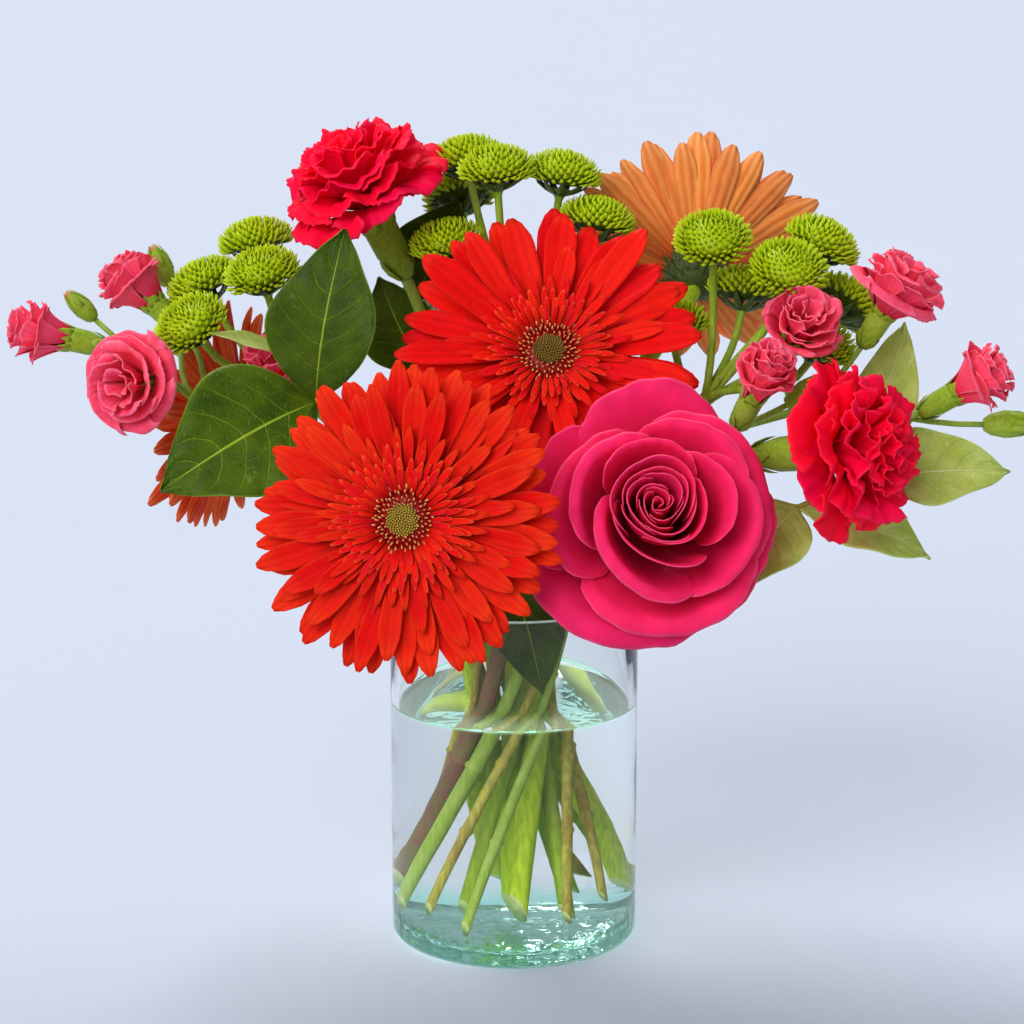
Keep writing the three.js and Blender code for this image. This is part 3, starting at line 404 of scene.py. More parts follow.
# %% Leaf group
VEIN_PAIRS, VEIN_LEAN = 7.0, 0.24
tree, given, result = new_group(
    "leaf_surface",
    [("Blade Colour", "colour"), ("Cell Colour", "colour"), ("Rib Colour", "colour"), ("Pairs", "value")],
    [("Colour", "colour"), ("Height", "value"), ("Roughness", "value")])
uv = add_node(tree, "ShaderNodeUVMap", uv_map="UVMap").outputs[0]
parts = add_node(tree, "ShaderNodeSeparateXYZ", {0: uv}).outputs
across, lengthwise = parts[0], parts[1]
tone = add_node(tree, "ShaderNodeAttribute", attribute_name="tone").outputs["Fac"]
from_rib = maths(tree, "ABSOLUTE", maths(tree, "MULTIPLY_ADD", across, 2.0, -1.0))
rib = ramp_between(tree, from_rib, 0.010, 0.034, 1.0, 0.0)
margin = ramp_between(tree, from_rib, 0.955, 1.0, 0.0, 0.5)
mottle = noise(tree, object_place(tree), 90.0, 3.0)
forward = maths(tree, "MULTIPLY", maths(tree, "POWER", from_rib, 1.4), -VEIN_LEAN)
veer = maths(tree, "MULTIPLY_ADD", mottle, 0.05, forward)
order = maths(tree, "MULTIPLY", maths(tree, "ADD", lengthwise, veer), given["Pairs"])
saw = maths(tree, "ABSOLUTE", maths(tree, "SUBTRACT", maths(tree, "FRACT", order), 0.5))
side_veins = maths(tree, "MULTIPLY", ramp_between(tree, saw, 0.0, 0.045, 1.0, 0.0),
                   ramp_between(tree, from_rib, 0.55, 0.95, 1.0, 0.15))
net_place = add_node(tree, "ShaderNodeMapping", {"Vector": uv, "Scale": (1.0, 1.7, 1.0)}).outputs[0]
net = add_node(tree, "ShaderNodeTexVoronoi", {"Vector": net_place, "Scale": 22.0},
               feature="DISTANCE_TO_EDGE").outputs["Distance"]
net_lines = ramp_between(tree, net, 0.0, 0.07, 1.0, 0.0)
blade = mix_colours(tree, ramp_between(tree, mottle, 0.3, 0.7), given["Blade Colour"],
                    given["Cell Colour"])
pale = given["Rib Colour"]
netted = mix_colours(tree, maths(tree, "MULTIPLY", net_lines, 0.2), blade, pale)
veined = mix_colours(tree, maths(tree, "MULTIPLY", side_veins, 0.55), netted, pale)
ribbed = mix_colours(tree, maths(tree, "MAXIMUM", rib, margin), veined, pale)
value = maths(tree, "MULTIPLY_ADD", tone, 0.4, 0.8)
toned = add_node(tree, "ShaderNodeHueSaturation", {"Value": value, "Color": ribbed})
dents = maths(tree, "MAXIMUM", side_veins, maths(tree, "MULTIPLY", net_lines, 0.35))
sunk = maths(tree, "MULTIPLY", maths(tree, "MAXIMUM", dents, rib), -1.0)
tree.links.new(toned.outputs[0], result.inputs["Colour"])
tree.links.new(sunk, result.inputs["Height"])
tree.links.new(maths(tree, "MULTIPLY_ADD", mottle, 0.25, 0.28), result.inputs["Roughness"])
leaf_group = tree
print("group:", leaf_group.name)

# %% [markdown]
# ## The leaves' colours
# The big leaves in front are dark and shiny. The ones at the right catch the light, and that light is
# painted into their pale green. One material with a random shade would mix them up, so each green is a
# material of its own.

# %% Leaf materials
def leaf_material(name, blade, cell, rib, pairs):
    """A leaf with two greens, pale ribs and that many pairs of side veins."""
    material, tree, shader = new_material(name, Specular_IOR_Level=0.14, Subsurface_Weight=0.04,
                                          Subsurface_Scale=0.001)
    group = add_node(tree, "ShaderNodeGroup", node_tree=leaf_group)
    values = {"Blade Colour": blade, "Cell Colour": cell, "Rib Colour": rib, "Pairs": pairs}
    for key, value in values.items():
        group.inputs[key].default_value = value
    tree.links.new(group.outputs["Colour"], shader.inputs["Base Color"])
    tree.links.new(group.outputs["Roughness"], shader.inputs["Roughness"])
    add_bump(tree, shader, group.outputs["Height"], 0.0006, 0.8)
    return material


DARK_LEAF = leaf_material("dark_leaf", colour(0.032, 0.074, 0.001), colour(0.070, 0.130, 0.001),
                          colour(0.30, 0.42, 0.025), VEIN_PAIRS)
# The pale green is painted light, for the leaves that catch the light.
PAINTED_LIT_LEAF = leaf_material("pale_leaf", colour(0.42, 0.53, 0.075), colour(0.55, 0.65, 0.16),
                          colour(0.72, 0.79, 0.34), VEIN_PAIRS)
print("leaf materials made")

# %% [markdown]
# ## Glass and water
# Both clear materials are Principled shaders with full transmission. Light that only casts a shadow
# is let through, because real glass and water focus light where a renderer would draw it black.
# Water that touches glass hardly mirrors at all, so its mirror share is turned down. Pressed glass
# is never quite even, so a faint bump bends what is seen through it, and more so in the foot.


# %% Clear materials
def clear_material(name, ior, gloss, shadow, ripple, ripple_scale, foot_ripple=0.0):
    """Glass or water: how it bends light, how much it mirrors, its shadow's colour and its unevenness."""
    material, tree, shader = new_material(name, Roughness=0.0, IOR=ior, Transmission_Weight=1.0,
                                          Specular_Tint=colour(gloss, gloss, gloss))
    place = object_place(tree)
    parts = add_node(tree, "ShaderNodeSeparateXYZ", {0: place}).outputs
    waves = noise(tree, place, ripple_scale, 1.0)
    fine = noise(tree, place, 240.0, 1.0)
    at_foot = ramp_between(tree, parts[2], 0.010, 0.016, foot_ripple, 0.0)
    add_bump(tree, shader, maths(tree, "MULTIPLY_ADD", fine, at_foot, waves), ripple, 0.35)
    path = add_node(tree, "ShaderNodeLightPath").outputs["Is Shadow Ray"]
    through = add_node(tree, "ShaderNodeBsdfTransparent", {"Color": shadow}).outputs[0]
    mixed = add_node(tree, "ShaderNodeMixShader", {0: path, 1: shader.outputs[0], 2: through})
    output = tree.nodes["Material Output"]
    tree.links.new(mixed.outputs[0], output.inputs["Surface"])
    return material, tree, shader, parts


def add_glow(tree, shader, mask, tint):
    """A faint light of its own where the mask is, for light that real glass gathers there."""
    glow = mix_colours(tree, mask, colour(0, 0, 0), tint)
    tree.links.new(glow, shader.inputs["Emission Color"])
    shader.inputs["Emission Strength"].default_value = 1.0


print("clear material recipe ready")

# %% [markdown]
# ## Where the glass and the water are green
# Thick glass looks teal, thin glass clear. A volume shader would work that out, and would take long
# to render. Here the foot is simply tinted by its height. The foot, the top of the vase's rim and the
# outer part of the water's surface, where light gathers, get a faint painted glow of their own; along
# the rim it is a thin painted highlight.

# %% Vase glass and water
TEAL = colour(0.50, 0.87, 0.76)
GLASS, tree, shader, parts = clear_material(
    "vase_glass", ior=1.45, gloss=0.45, shadow=colour(0.97, 0.985, 0.985), ripple=0.0012,
    ripple_scale=40.0, foot_ripple=1.2)
foot_mask = ramp_between(tree, parts[2], 0.002, 0.014, 1.0, 0.0)
tint = mix_colours(tree, foot_mask, colour(0.965, 0.985, 0.98), TEAL)
tree.links.new(tint, shader.inputs["Base Color"])
# Painted light: the top of the rim glows as a thin painted highlight, and the foot glows faintly teal.
painted_rim_highlight = ramp_between(tree, parts[2], 0.1410, 0.1417)
glow = mix_colours(tree, painted_rim_highlight, colour(0.012, 0.040, 0.032), colour(0.30, 0.33, 0.34))
add_glow(tree, shader, maths(tree, "MAXIMUM", foot_mask, painted_rim_highlight), glow)

WATER, tree, shader, parts = clear_material(
    "water", ior=1.333, gloss=0.1, shadow=colour(0.99, 0.995, 0.995), ripple=0.0006, ripple_scale=30.0)
from_axis = maths(tree, "SQRT", maths(tree, "ADD", maths(tree, "MULTIPLY", parts[0], parts[0]),
                                      maths(tree, "MULTIPLY", parts[1], parts[1])))
surface = ramp_between(tree, parts[2], 0.0962, 0.0970)
rim_mask = maths(tree, "MULTIPLY", ramp_between(tree, from_axis, 0.0440, 0.0462), surface)
tint = mix_colours(tree, rim_mask, colour(0.985, 0.995, 0.99), TEAL)
tree.links.new(tint, shader.inputs["Base Color"])
# Painted light: the outer part of the water's surface glows faintly, for the light and reflections that
# real water shows there.
painted_surface_glow = maths(tree, "MULTIPLY", ramp_between(tree, from_axis, 0.020, 0.038),
              ramp_between(tree, from_axis, 0.0440, 0.0460, 1.0, 0.4))
add_glow(tree, shader, maths(tree, "MULTIPLY", painted_surface_glow, surface), colour(0.33, 0.39, 0.30))
print("clear materials made:", GLASS.name, WATER.name)

# %% [markdown]
# ## The floor's colour
# A studio's paper is one pale blue. Just in front of the vase a painted shadow makes it a tone darker,
# where the light from behind doesn't reach, and a little unevenness keeps it from looking like a flat fill.

# %% Floor material
FLOOR, tree, shader = new_material("pale_floor", Roughness=0.85, Specular_IOR_Level=0.2)
PAINTED_SHADOW_DARKEST, UNEVEN = 0.81, 0.985
place = object_place(tree)
grain = noise(tree, place, 3.0, 2.0)
tint = mix_colours(tree, grain, colour(*FLOOR_COLOUR), colour(*[c * UNEVEN for c in FLOOR_COLOUR]))
forward = add_node(tree, "ShaderNodeSeparateXYZ", {0: place}).outputs[1]
# Painted shadow: a band just in front of the vase is darkened, and lightens again towards the camera.
painted_shadow = ramp_between(tree, forward, -0.24, 0.06, PAINTED_SHADOW_DARKEST, 1.0)
beyond = ramp_between(tree, forward, -1.0, -0.3, 1.0, PAINTED_SHADOW_DARKEST)
tone = maths(tree, "MAXIMUM", painted_shadow, beyond)
shaded = add_node(tree, "ShaderNodeHueSaturation", {"Value": tone, "Color": tint}).outputs[0]
tree.links.new(shaded, shader.inputs["Base Color"])
print("floor material made")

# %% [markdown]
# ## Making pieces
# Plants grow along curves and round axes. So before any mesh there are a few rules for places: a
# smooth value along a row of stations, the way a bloom faces, and the matrix that stands it there.

# %% Curves and places
GOLDEN_ANGLE = math.pi * (3 - math.sqrt(5))
SIDEWAYS = (0, 1, 0)


def lerp(a, b, t):
    """The value a share t of the way from a to b."""
    return a + (b - a) * t


def along(stations, t):
    """A smooth value read off evenly spaced stations, t from 0 to 1."""
    last = len(stations) - 1
    spot = min(max(t, 0.0), 1.0) * last
    i = min(int(spot), last - 1)
    before, here, after, beyond = (stations[min(max(k, 0), last)] for k in range(i - 1, i + 3))
    f = spot - i
    cubic = 3 * (here - after) + beyond - before
    square = 2 * before - 5 * here + 4 * after - beyond
    return here + 0.5 * f * (after - before + f * (square + f * cubic))


def facing(azimuth, elevation):
    """A bloom's axis in degrees: azimuth 0 looks to the front, 90 to the right."""
    a, e = math.radians(azimuth), math.radians(elevation)
    return Vector((math.sin(a) * math.cos(e), -math.cos(a) * math.cos(e), math.sin(e)))


def standing(seat, axis, spin=0.0):
    """The matrix that stands a bloom on its seat, with its own +Z along the axis."""
    turn = UP.rotation_difference(Vector(axis)).to_matrix().to_4x4()
    return Matrix.Translation(seat) @ turn @ Matrix.Rotation(spin, 4, "Z")


def axis_line(*levels):
    """Points on the Z axis."""
    return [Vector((0, 0, z)) for z in levels]


def side_line(*places):
    """Points in the X-Z plane, from pairs of X and Z."""
    return [Vector((x, 0, z)) for x, z in places]


print("golden angle", round(math.degrees(GOLDEN_ANGLE), 2), "degrees")

# %% [markdown]
# Three helpers make every form. A sheet is a flat grid whose points move to where a formula puts
# them: that is every petal and leaf. A tube is a ring that is extruded from station to station:
# that is every stem, floret and bract. A copy places a finished small mesh again, one by one or in
# a ring. Curves with a bevel could give the stems too, but they carry no "tone" to colour them by.

# %% Sheets, tubes and copies
grids = {}


def grid_of(columns, rows):
    """A flat grid from -1 to 1 each way, with its UV map: the blank for petals and leaves."""
    if (columns, rows) not in grids:
        bm = bmesh.new()
        bm.loops.layers.uv.new("UVMap")
        bm.verts.layers.float.new("tone")
        bmesh.ops.create_grid(bm, x_segments=columns, y_segments=rows, size=1, calc_uvs=True)
        mesh = bpy.data.meshes.new(f"grid_{columns}_{rows}")
        bm.to_mesh(mesh)
        bm.free()
        grids[columns, rows] = mesh
    return grids[columns, rows]


def new_shape():
    """An empty shape whose points carry a "tone", which the petal colours read."""
    bm = bmesh.new()
    bm.loops.layers.uv.new("UVMap")
    bm.verts.layers.float.new("tone")
    return bm


def add_sheet(bm, columns, rows, shape, tone, material=0):
    """One petal or leaf: the grid's points move to shape(u, v), u -1 to 1 across, v 0 to 1 along."""
    first_vert, first_face = len(bm.verts), len(bm.faces)
    bm.from_mesh(grid_of(columns, rows))
    bm.verts.ensure_lookup_table()
    bm.faces.ensure_lookup_table()
    layer = bm.verts.layers.float["tone"]
    for vert in bm.verts[first_vert:]:
        vert.co = shape(vert.co.x, 0.5 + 0.5 * vert.co.y)
        vert[layer] = tone
    for face in bm.faces[first_face:]:
        face.material_index = material


def tube_mesh(points, radii, sides=8, flat=1.0, across=(1, 0, 0)):
    """A closed tube through the points. flat squeezes it at right angles to across."""
    bm = new_shape()
    side = Vector(across)
    last = len(points) - 1
    places = []
    for j, (point, radius) in enumerate(zip(points, radii)):
        ahead = (points[min(j + 1, last)] - points[max(j - 1, 0)]).normalized()
        side = (side - side.dot(ahead) * ahead).normalized()
        turn = Matrix((side, ahead.cross(side), ahead)).transposed().to_4x4()
        places.append(Matrix.Translation(point) @ turn @ Matrix.Diagonal((radius, radius * flat, 1, 1)))
    ring = bmesh.ops.create_circle(bm, segments=sides, radius=1)["verts"]
    edges = list({edge for vert in ring for edge in vert.link_edges})
    bmesh.ops.transform(bm, matrix=places[0], verts=ring)
    layer = bm.verts.layers.float["tone"]
    for j in range(1, last + 1):
        grown = bmesh.ops.extrude_edge_only(bm, edges=edges)["geom"]
        ring = [part for part in grown if isinstance(part, bmesh.types.BMVert)]
        edges = [part for part in grown if isinstance(part, bmesh.types.BMEdge)]
        bmesh.ops.transform(bm, matrix=places[j] @ places[j - 1].inverted(), verts=ring)
        for vert in ring:
            vert[layer] = j / last
    bmesh.ops.holes_fill(bm, edges=bm.edges[:], sides=0)
    bmesh.ops.recalc_face_normals(bm, faces=bm.faces[:])
    mesh = bpy.data.meshes.new("tube")
    bm.to_mesh(mesh)
    bm.free()
    return mesh


def add_copy(bm, mesh, matrix=None, material=0):
    """Adds a small mesh to a shape, placed by the matrix."""
    first_face = len(bm.faces)
    placed = mesh.copy()
    if matrix is not None:
        placed.transform(matrix)
    bm.from_mesh(placed)
    bpy.data.meshes.remove(placed)
    bm.faces.ensure_lookup_table()
    for face in bm.faces[first_face:]:
        face.material_index = material


def add_ring(bm, mesh, count, place, spin=0.0, material=0):
    """Copies of a small mesh in an even ring round the place's axis."""
    for i in range(count):
        turn = Matrix.Rotation(2 * math.pi * i / count + spin, 4, "Z")
        add_copy(bm, mesh, place @ turn, material)


def add_tube(bm, points, radii, sides):
    """Adds a tube straight to a shape."""
    add_copy(bm, tube_mesh(points, radii, sides))


print("sheet, tube and copy helpers ready")

# %% [markdown]
# Each shape is moved to its place and scaled to metres inside its own mesh, so that its object can
# stay at the origin. Petals and leaves get their thickness from a Solidify modifier: drawing both
# faces of each one by hand would be twice the work. The last lines say which part of the frame the
# piece moves with, and hide the plain solid it stands for.


# %% Finishing a piece
def finish_piece(name, bm, materials, slot, node, place=None, thickness=0.0):
    """Places a shape, scales it to metres, gives it its materials and lets it stand for a CAD node."""
    if place is not None:
        bm.transform(place)
    bm.transform(Matrix.Scale(MM, 4))
    for face in bm.faces:
        face.smooth = True
    mesh = bpy.data.meshes.new(name)
    bm.to_mesh(mesh)
    bm.free()
    piece = bpy.data.objects.new(name, mesh)
    bpy.context.scene.collection.objects.link(piece)
    for material in materials:
        mesh.materials.append(material)
    if thickness:
        skin = piece.modifiers.new("thickness", "SOLIDIFY")
        skin.thickness = thickness * MM
        skin.offset = 0
    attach(piece, "root")
    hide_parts(node)
    print(name, "faces", len(mesh.polygons))


# %% [markdown]
# ## The floor
# One large pale plane. A curved backdrop would hide the horizon as a studio's paper does. The camera
# looks down enough that the plane's far edge stays out of the picture, so the plane will do.

# %% Floor
FLOOR_HALF = 30.0
bm = bmesh.new()
bmesh.ops.create_grid(bm, x_segments=1, y_segments=1, size=FLOOR_HALF)
floor_mesh = bpy.data.meshes.new("floor")
bm.to_mesh(floor_mesh)
bm.free()
floor = bpy.data.objects.new("floor", floor_mesh)
bpy.context.scene.collection.objects.link(floor)
floor_mesh.materials.append(FLOOR)
print("floor half width", FLOOR_HALF, "m")

# %% [markdown]
# ## The vase and its water
# The vase is a thick glass cylinder with a rounded rim and a hollow under its foot. A cylinder with
# a Boolean hole would have sharp edges. So it is turned instead: one profile from the foot's middle,
# up the outside, over the rim and down the inside, spun round the axis.

# %% Vase profile
vase_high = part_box("vase")[1]
water_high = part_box("water")[1]
VASE_RADIUS = vase_high.x / MM
VASE_HEIGHT = vase_high.z / MM
WATER_LEVEL = water_high.z / MM
WALL, HEEL, FLOOR_DEPTH = 3.0, 7.0, 5.0
TURNS = 96


def arc(centre, radius, first, last, steps):
    """Points of an arc in the X-Z plane, its angles in degrees from +X."""
    angles = [math.radians(lerp(first, last, i / steps)) for i in range(steps + 1)]
    return [(centre[0] + radius * math.cos(a), centre[1] + radius * math.sin(a)) for a in angles]


def turned(profile):
    """A closed solid of revolution about Z from an X-Z profile that starts and ends on the axis."""
    bm = new_shape()
    verts = [bm.verts.new((x, 0, z)) for x, z in profile]
    edges = [bm.edges.new(pair) for pair in zip(verts, verts[1:])]
    bmesh.ops.spin(bm, geom=verts + edges, cent=(0, 0, 0), axis=(0, 0, 1), angle=2 * math.pi,
                   steps=TURNS, use_merge=True)
    bmesh.ops.remove_doubles(bm, verts=bm.verts[:], dist=0.001)
    bmesh.ops.recalc_face_normals(bm, faces=bm.faces[:])
    return bm


inside = VASE_RADIUS - WALL
profile = [(0.0, 1.2), (VASE_RADIUS - 12, 1.1), (VASE_RADIUS - 11, 0.9), (VASE_RADIUS - 9, 0.1),
           (VASE_RADIUS - 8, 0.0)]
profile += arc((VASE_RADIUS - 4, 4), 4, -80, 0, 6)
profile += [(VASE_RADIUS, 20), (VASE_RADIUS, 60), (VASE_RADIUS, 100)]
profile += arc((VASE_RADIUS - WALL / 2, VASE_HEIGHT - WALL / 2), WALL / 2, 0, 180, 8)
profile += [(inside, 100), (inside, 60), (inside, 20)]
profile += arc((inside - HEEL, FLOOR_DEPTH + HEEL), HEEL, 0, -90, 8)
profile += [(20.0, FLOOR_DEPTH), (0.0, FLOOR_DEPTH)]
finish_piece("vase_clear_glass", turned(profile), [GLASS], "vase_glass", "vase")

# %% [markdown]
# The water could be cut from the vase's inside, but two surfaces in one place flicker in a render,
# and a gap between them shows as a film of air. So it is turned from a profile of its own that sinks
# a hair's breadth into the glass. At the wall its edge climbs a little, as water does.

# %% Water
SINK = 0.15
film = inside + SINK
bottom = FLOOR_DEPTH - SINK
climb = 1.4
level = WATER_LEVEL - 0.4
profile = [(0.0, bottom), (20.0, bottom)]
profile += arc((film - HEEL, bottom + HEEL), HEEL, -90, 0, 8)
profile += [(film, 40), (film, 70), (film, level + climb - 0.3), (film, level + climb)]
profile += [(film - 0.2, level + climb), (film - 0.7, level + 0.5 * climb)]
profile += [(film - 1.5, level + 0.2 * climb), (film - 2.6, level + 0.04 * climb)]
profile += [(film - 3.6, level), (film - 4, level), (20, level), (0, level)]
finish_piece("water_clear", turned(profile), [WATER], "water", "water")

# %% [markdown]
# ## Where the stems run
# A florist ties the bunch as a spiral: seen from above, the stems' places at the rim are turned and
# spread on their way down to the feet. Each stem could be routed by hand, and would soon run through
# another. In the spiral straight stems cross without meeting. Above the rim each one bends to its
# bloom on one smooth curve.

# %% Stem routes
NECK_Z = VASE_HEIGHT
SPIRAL_TURN, SPIRAL_SPREAD, FEET_Z = math.radians(120), 1.45, 8


def spiral_point(slot, z):
    """Where a stem whose place at the rim is (radius, azimuth) is found at height z."""
    radius, azimuth = slot[0], math.radians(slot[1])
    share = (NECK_Z - z) / (NECK_Z - FEET_Z)
    rim = Vector((math.cos(azimuth), math.sin(azimuth), 0)) * radius
    foot = Matrix.Rotation(-SPIRAL_TURN, 3, "Z") @ rim
    point = rim * (1 - share) + foot * SPIRAL_SPREAD * share
    point.z = z
    return point


def bend(start, leave, end, arrive, pulls, count):
    """Points of a smooth bend that leaves start along leave and arrives at end along arrive."""
    corners = (start, start + leave * pulls[0], end - arrive * pulls[1], end)
    points = []
    for i in range(count + 1):
        t = i / count
        weights = ((1 - t) ** 3, 3 * t * (1 - t) ** 2, 3 * t * t * (1 - t), t ** 3)
        points.append(sum((c * w for c, w in zip(corners, weights)), Vector()))
    return points


def stem_route(slot, foot, end, arrive, pulls, count=12):
    """From the cut foot, straight to the vase's rim, then bent to the stem's end."""
    low, neck = spiral_point(slot, foot), spiral_point(slot, NECK_Z)
    leave = (neck - low).normalized()
    straight = [low.lerp(neck, t) for t in (0, 0.1, 0.28, 0.5, 0.75)]
    return straight + bend(neck, leave, Vector(end), arrive, pulls, count)


def offshoot(start, onward, end, arrive, count=7):
    """The route of a branch that forks off at start from a stem that runs along onward."""
    way = end - start
    leave = (way.normalized() + onward * 0.6).normalized()
    return bend(start, leave, end, arrive, (0.3 * way.length, 0.4 * way.length), count)


print("a front stem's foot lies at", spiral_point((27, 270), FEET_Z))

# %% [markdown]
# ## Gerberas
# A gerbera is a daisy: two rings of long ray petals, rings of ever narrower and shorter ones, a
# dense ring of thread-like florets with golden tips, and an olive eye of buds that haven't opened.
# One petal could be modelled and copied round, and the bloom would look stamped. Here each petal is
# a sheet with its own length, droop and twist from a seeded draw, so they are alike but never equal.

# %% Ray petals
CORE, FACE = 11.4, 7.5  # the receptacle's radius and its height above the seat
NARROW, THREAD = 5, 3  # rings with petals below these widths are short inner ones, then threads
RAY_OUTLINE = [0.40, 0.62, 0.80, 0.92, 1.0, 0.96, 0.58]


def ray_petal(angle, tip, width, start, rise, droop, swing, twist, cup, groove):
    """The shape of one ray petal, from the receptacle's edge outwards."""
    length = tip - CORE
    turn = Matrix.Rotation(angle, 3, "Z")

    def shape(u, v):
        half = 0.5 * width * along(RAY_OUTLINE, v)
        round_tip = 0.07 * u * u * v ** 4 + 0.005 * v ** 8 * math.cos(3 * math.pi * u)
        out = CORE - 2 + (length + 2) * (v - round_tip)
        ridges = groove * math.cos(3 * math.pi * u) * math.sin(math.pi * min(1, v * 1.1))
        curl = 0.22 * half * u * u
        z = start + rise * math.sin(0.5 * math.pi * v) - droop * v ** 3 + cup * (out - CORE)
        side = u * half + swing * v * v * length
        return turn @ Vector((out, side, z + curl + ridges + twist * u * half * v))

    return shape


def gerbera_petals(plan):
    """All the flat parts of a gerbera's face, in rings from the outermost to the short inner ones."""
    rng = random.Random(plan["seed"])
    bm = new_shape()
    for count, tip, width, start, rise, droop in plan["rings"]:
        offset = rng.uniform(0, 2 * math.pi)
        narrow = width < NARROW
        columns, rows = (4, 6) if narrow else (8, 12)
        for i in range(count):
            angle = offset + 2 * math.pi * (i + rng.uniform(-0.2, 0.2)) / count
            lift = (0.10, 0.02)[narrow] * max(0.0, rng.gauss(0, 1))
            shape = ray_petal(
                angle, tip=tip * rng.uniform(0.91, 1.0), width=width * rng.uniform(0.86, 1.08),
                start=start + rng.uniform(-0.3, 0.4), rise=rise * rng.uniform(0.7, 1.4),
                droop=droop * rng.uniform(0.4, 1.6), swing=rng.uniform(-0.04, 0.04),
                twist=rng.uniform(-0.2, 0.2), cup=plan["cup"] + rng.uniform(-0.03, 0.03) + lift,
                groove=0.1 if narrow else 0.26)
            add_sheet(bm, columns, rows, shape, rng.random(), 1 if width < THREAD else 0)
    return bm


print("ray petal outline", RAY_OUTLINE)

# %% [markdown]
# The thread-like florets are curved tubes that lean out more the further they stand from the eye.
# Scattered at random they would clump. A sunflower spiral, which turns each one by the golden angle,
# spreads them evenly over the disc, as it does in a real daisy.

# %% Disc florets
FLORET_COUNT, BUD_COUNT = 170, 130


def gerbera_florets(seed, eye):
    """The receptacle and its ring of slender florets between the eye and the petals."""
    rng = random.Random(seed)
    bm = new_shape()
    add_tube(bm, axis_line(0.3, 2.5, 5, 7, 7.6), (CORE - 1.6, CORE, CORE, CORE - 0.6, 4), 24)
    layer = bm.verts.layers.float["tone"]
    for vert in bm.verts:
        vert[layer] = 0.0
    curve = side_line((0.0, 0), (0.15, 1.6), (0.6, 3.1), (1.5, 4.3))
    floret = tube_mesh(curve, (0.40, 0.38, 0.52, 0.30), 5)
    for i in range(FLORET_COUNT):
        share = (i + 0.5) / FLORET_COUNT
        radius = math.sqrt(lerp((eye - 0.4) ** 2, (CORE + 0.6) ** 2, share))
        angle = i * GOLDEN_ANGLE
        lean = lerp(0.0, 0.95, share) + rng.uniform(-0.15, 0.15)
        seat = Matrix.Rotation(angle, 4, "Z") @ Matrix.Translation((radius, 0, FACE - 0.5 - 1.4 * share))
        turn = Matrix.Rotation(lean, 4, "Y") @ Matrix.Rotation(rng.uniform(-0.5, 0.5), 4, "Z")
        size = rng.uniform(0.75, 1.1) * lerp(0.75, 1.1, share)
        add_copy(bm, floret, seat @ turn @ Matrix.Scale(size, 4))
    return bm


def gerbera_eye(eye):
    """A low dome packed with closed buds."""
    bm = new_shape()
    add_tube(bm, axis_line(-0.8, 0.4, 1.1, 1.5), (eye - 0.4, eye - 0.6, 0.7 * eye, 1.0), 20)
    bud = tube_mesh(axis_line(-0.4, 0.5, 1.0, 1.3), (0.42, 0.46, 0.34, 0.08), 6)
    for i in range(BUD_COUNT):
        radius = (eye - 0.35) * math.sqrt((i + 0.5) / BUD_COUNT)
        height = 1.5 * (1 - (radius / eye) ** 2) + 0.2
        tilt = Matrix.Rotation(0.6 * radius / eye, 4, "Y")
        seat = Matrix.Rotation(i * GOLDEN_ANGLE, 4, "Z") @ Matrix.Translation((radius, 0, height))
        add_copy(bm, bud, seat @ tilt)
    return bm


print("florets in a ring:", FLORET_COUNT, "buds in an eye:", BUD_COUNT)

# %% [markdown]
# Under the bloom the stem widens into a cup of overlapping pointed bracts, covered in short silver
# hairs. A particle system could grow the hairs, but it isn't part of the mesh. One bract is a
# flattened tube and one hair a thin tube, and their copies follow the cup's curve.

# %% Bracts and hairs
CALYX_DEPTH = 15.0
CUP_RADII = [4.2, 7.0, 9.6, 11.0, 11.2]
BRACT_RINGS = ((11, -14.0, 0.8), (14, -11.0, 0.95), (16, -8.4, 0.95))  # count, level, size
HAIR_COUNT = 420


def gerbera_cup(bm, seat, axis, seed):
    """The green cup, its bracts and its hairs, added to the stem's shape."""
    rng = random.Random(seed)
    place = standing(seat, axis)
    levels = [-CALYX_DEPTH * (1 - k / 4) - 0.3 for k in range(5)]
    cup = tube_mesh(axis_line(*levels), CUP_RADII, 20)
    add_copy(bm, cup, place, 1)
    curve = side_line((0, 0), (0.9, 3.5), (2.0, 7.5), (3.6, 11.5))
    bract = tube_mesh(curve, (1.3, 1.6, 1.1, 0.12), 6, 0.35, SIDEWAYS)
    for ring, (count, level, size) in enumerate(BRACT_RINGS):
        share = (level + CALYX_DEPTH) / CALYX_DEPTH
        at = Matrix.Translation((along(CUP_RADII, share) - 0.2, 0, level))
        for i in range(count):
            angle = 2 * math.pi * (i + 0.5 * ring + rng.uniform(-0.1, 0.1)) / count
            lean = Matrix.Rotation(lerp(0.45, 0.05, share) + rng.uniform(-0.05, 0.1), 4, "Y")
            turn = Matrix.Rotation(angle, 4, "Z")
            add_copy(bm, bract, place @ turn @ at @ lean @ Matrix.Scale(size, 4), 1)
    hair = tube_mesh(axis_line(0, 2.2), (0.07, 0.02), 3)
    for _ in range(HAIR_COUNT):
        share = rng.random()
        level = lerp(-CALYX_DEPTH, -1.0, share)
        at = Matrix.Translation((along(CUP_RADII, share) + 0.6, 0, level))
        lean = Matrix.Rotation(rng.uniform(0.6, 1.7), 4, "Y")
        lean = lean @ Matrix.Rotation(rng.uniform(-0.5, 0.5), 4, "X")
        turn = Matrix.Rotation(rng.uniform(0, 2 * math.pi), 4, "Z")
        add_copy(bm, hair, place @ turn @ at @ lean, 2)


print("bracts on a cup:", sum(ring[0] for ring in BRACT_RINGS), "hairs:", HAIR_COUNT)

# %% [markdown]
# ## Cut stems
# Flowers for a vase are cut at a slant, so that they drink. A stem is a tube along its route, and
# its foot could be modelled slanted. It is simpler to make it round and slice it with one plane:
# bisect_plane cuts the mesh, and holes_fill closes it with a face that gets the pale pith colour.


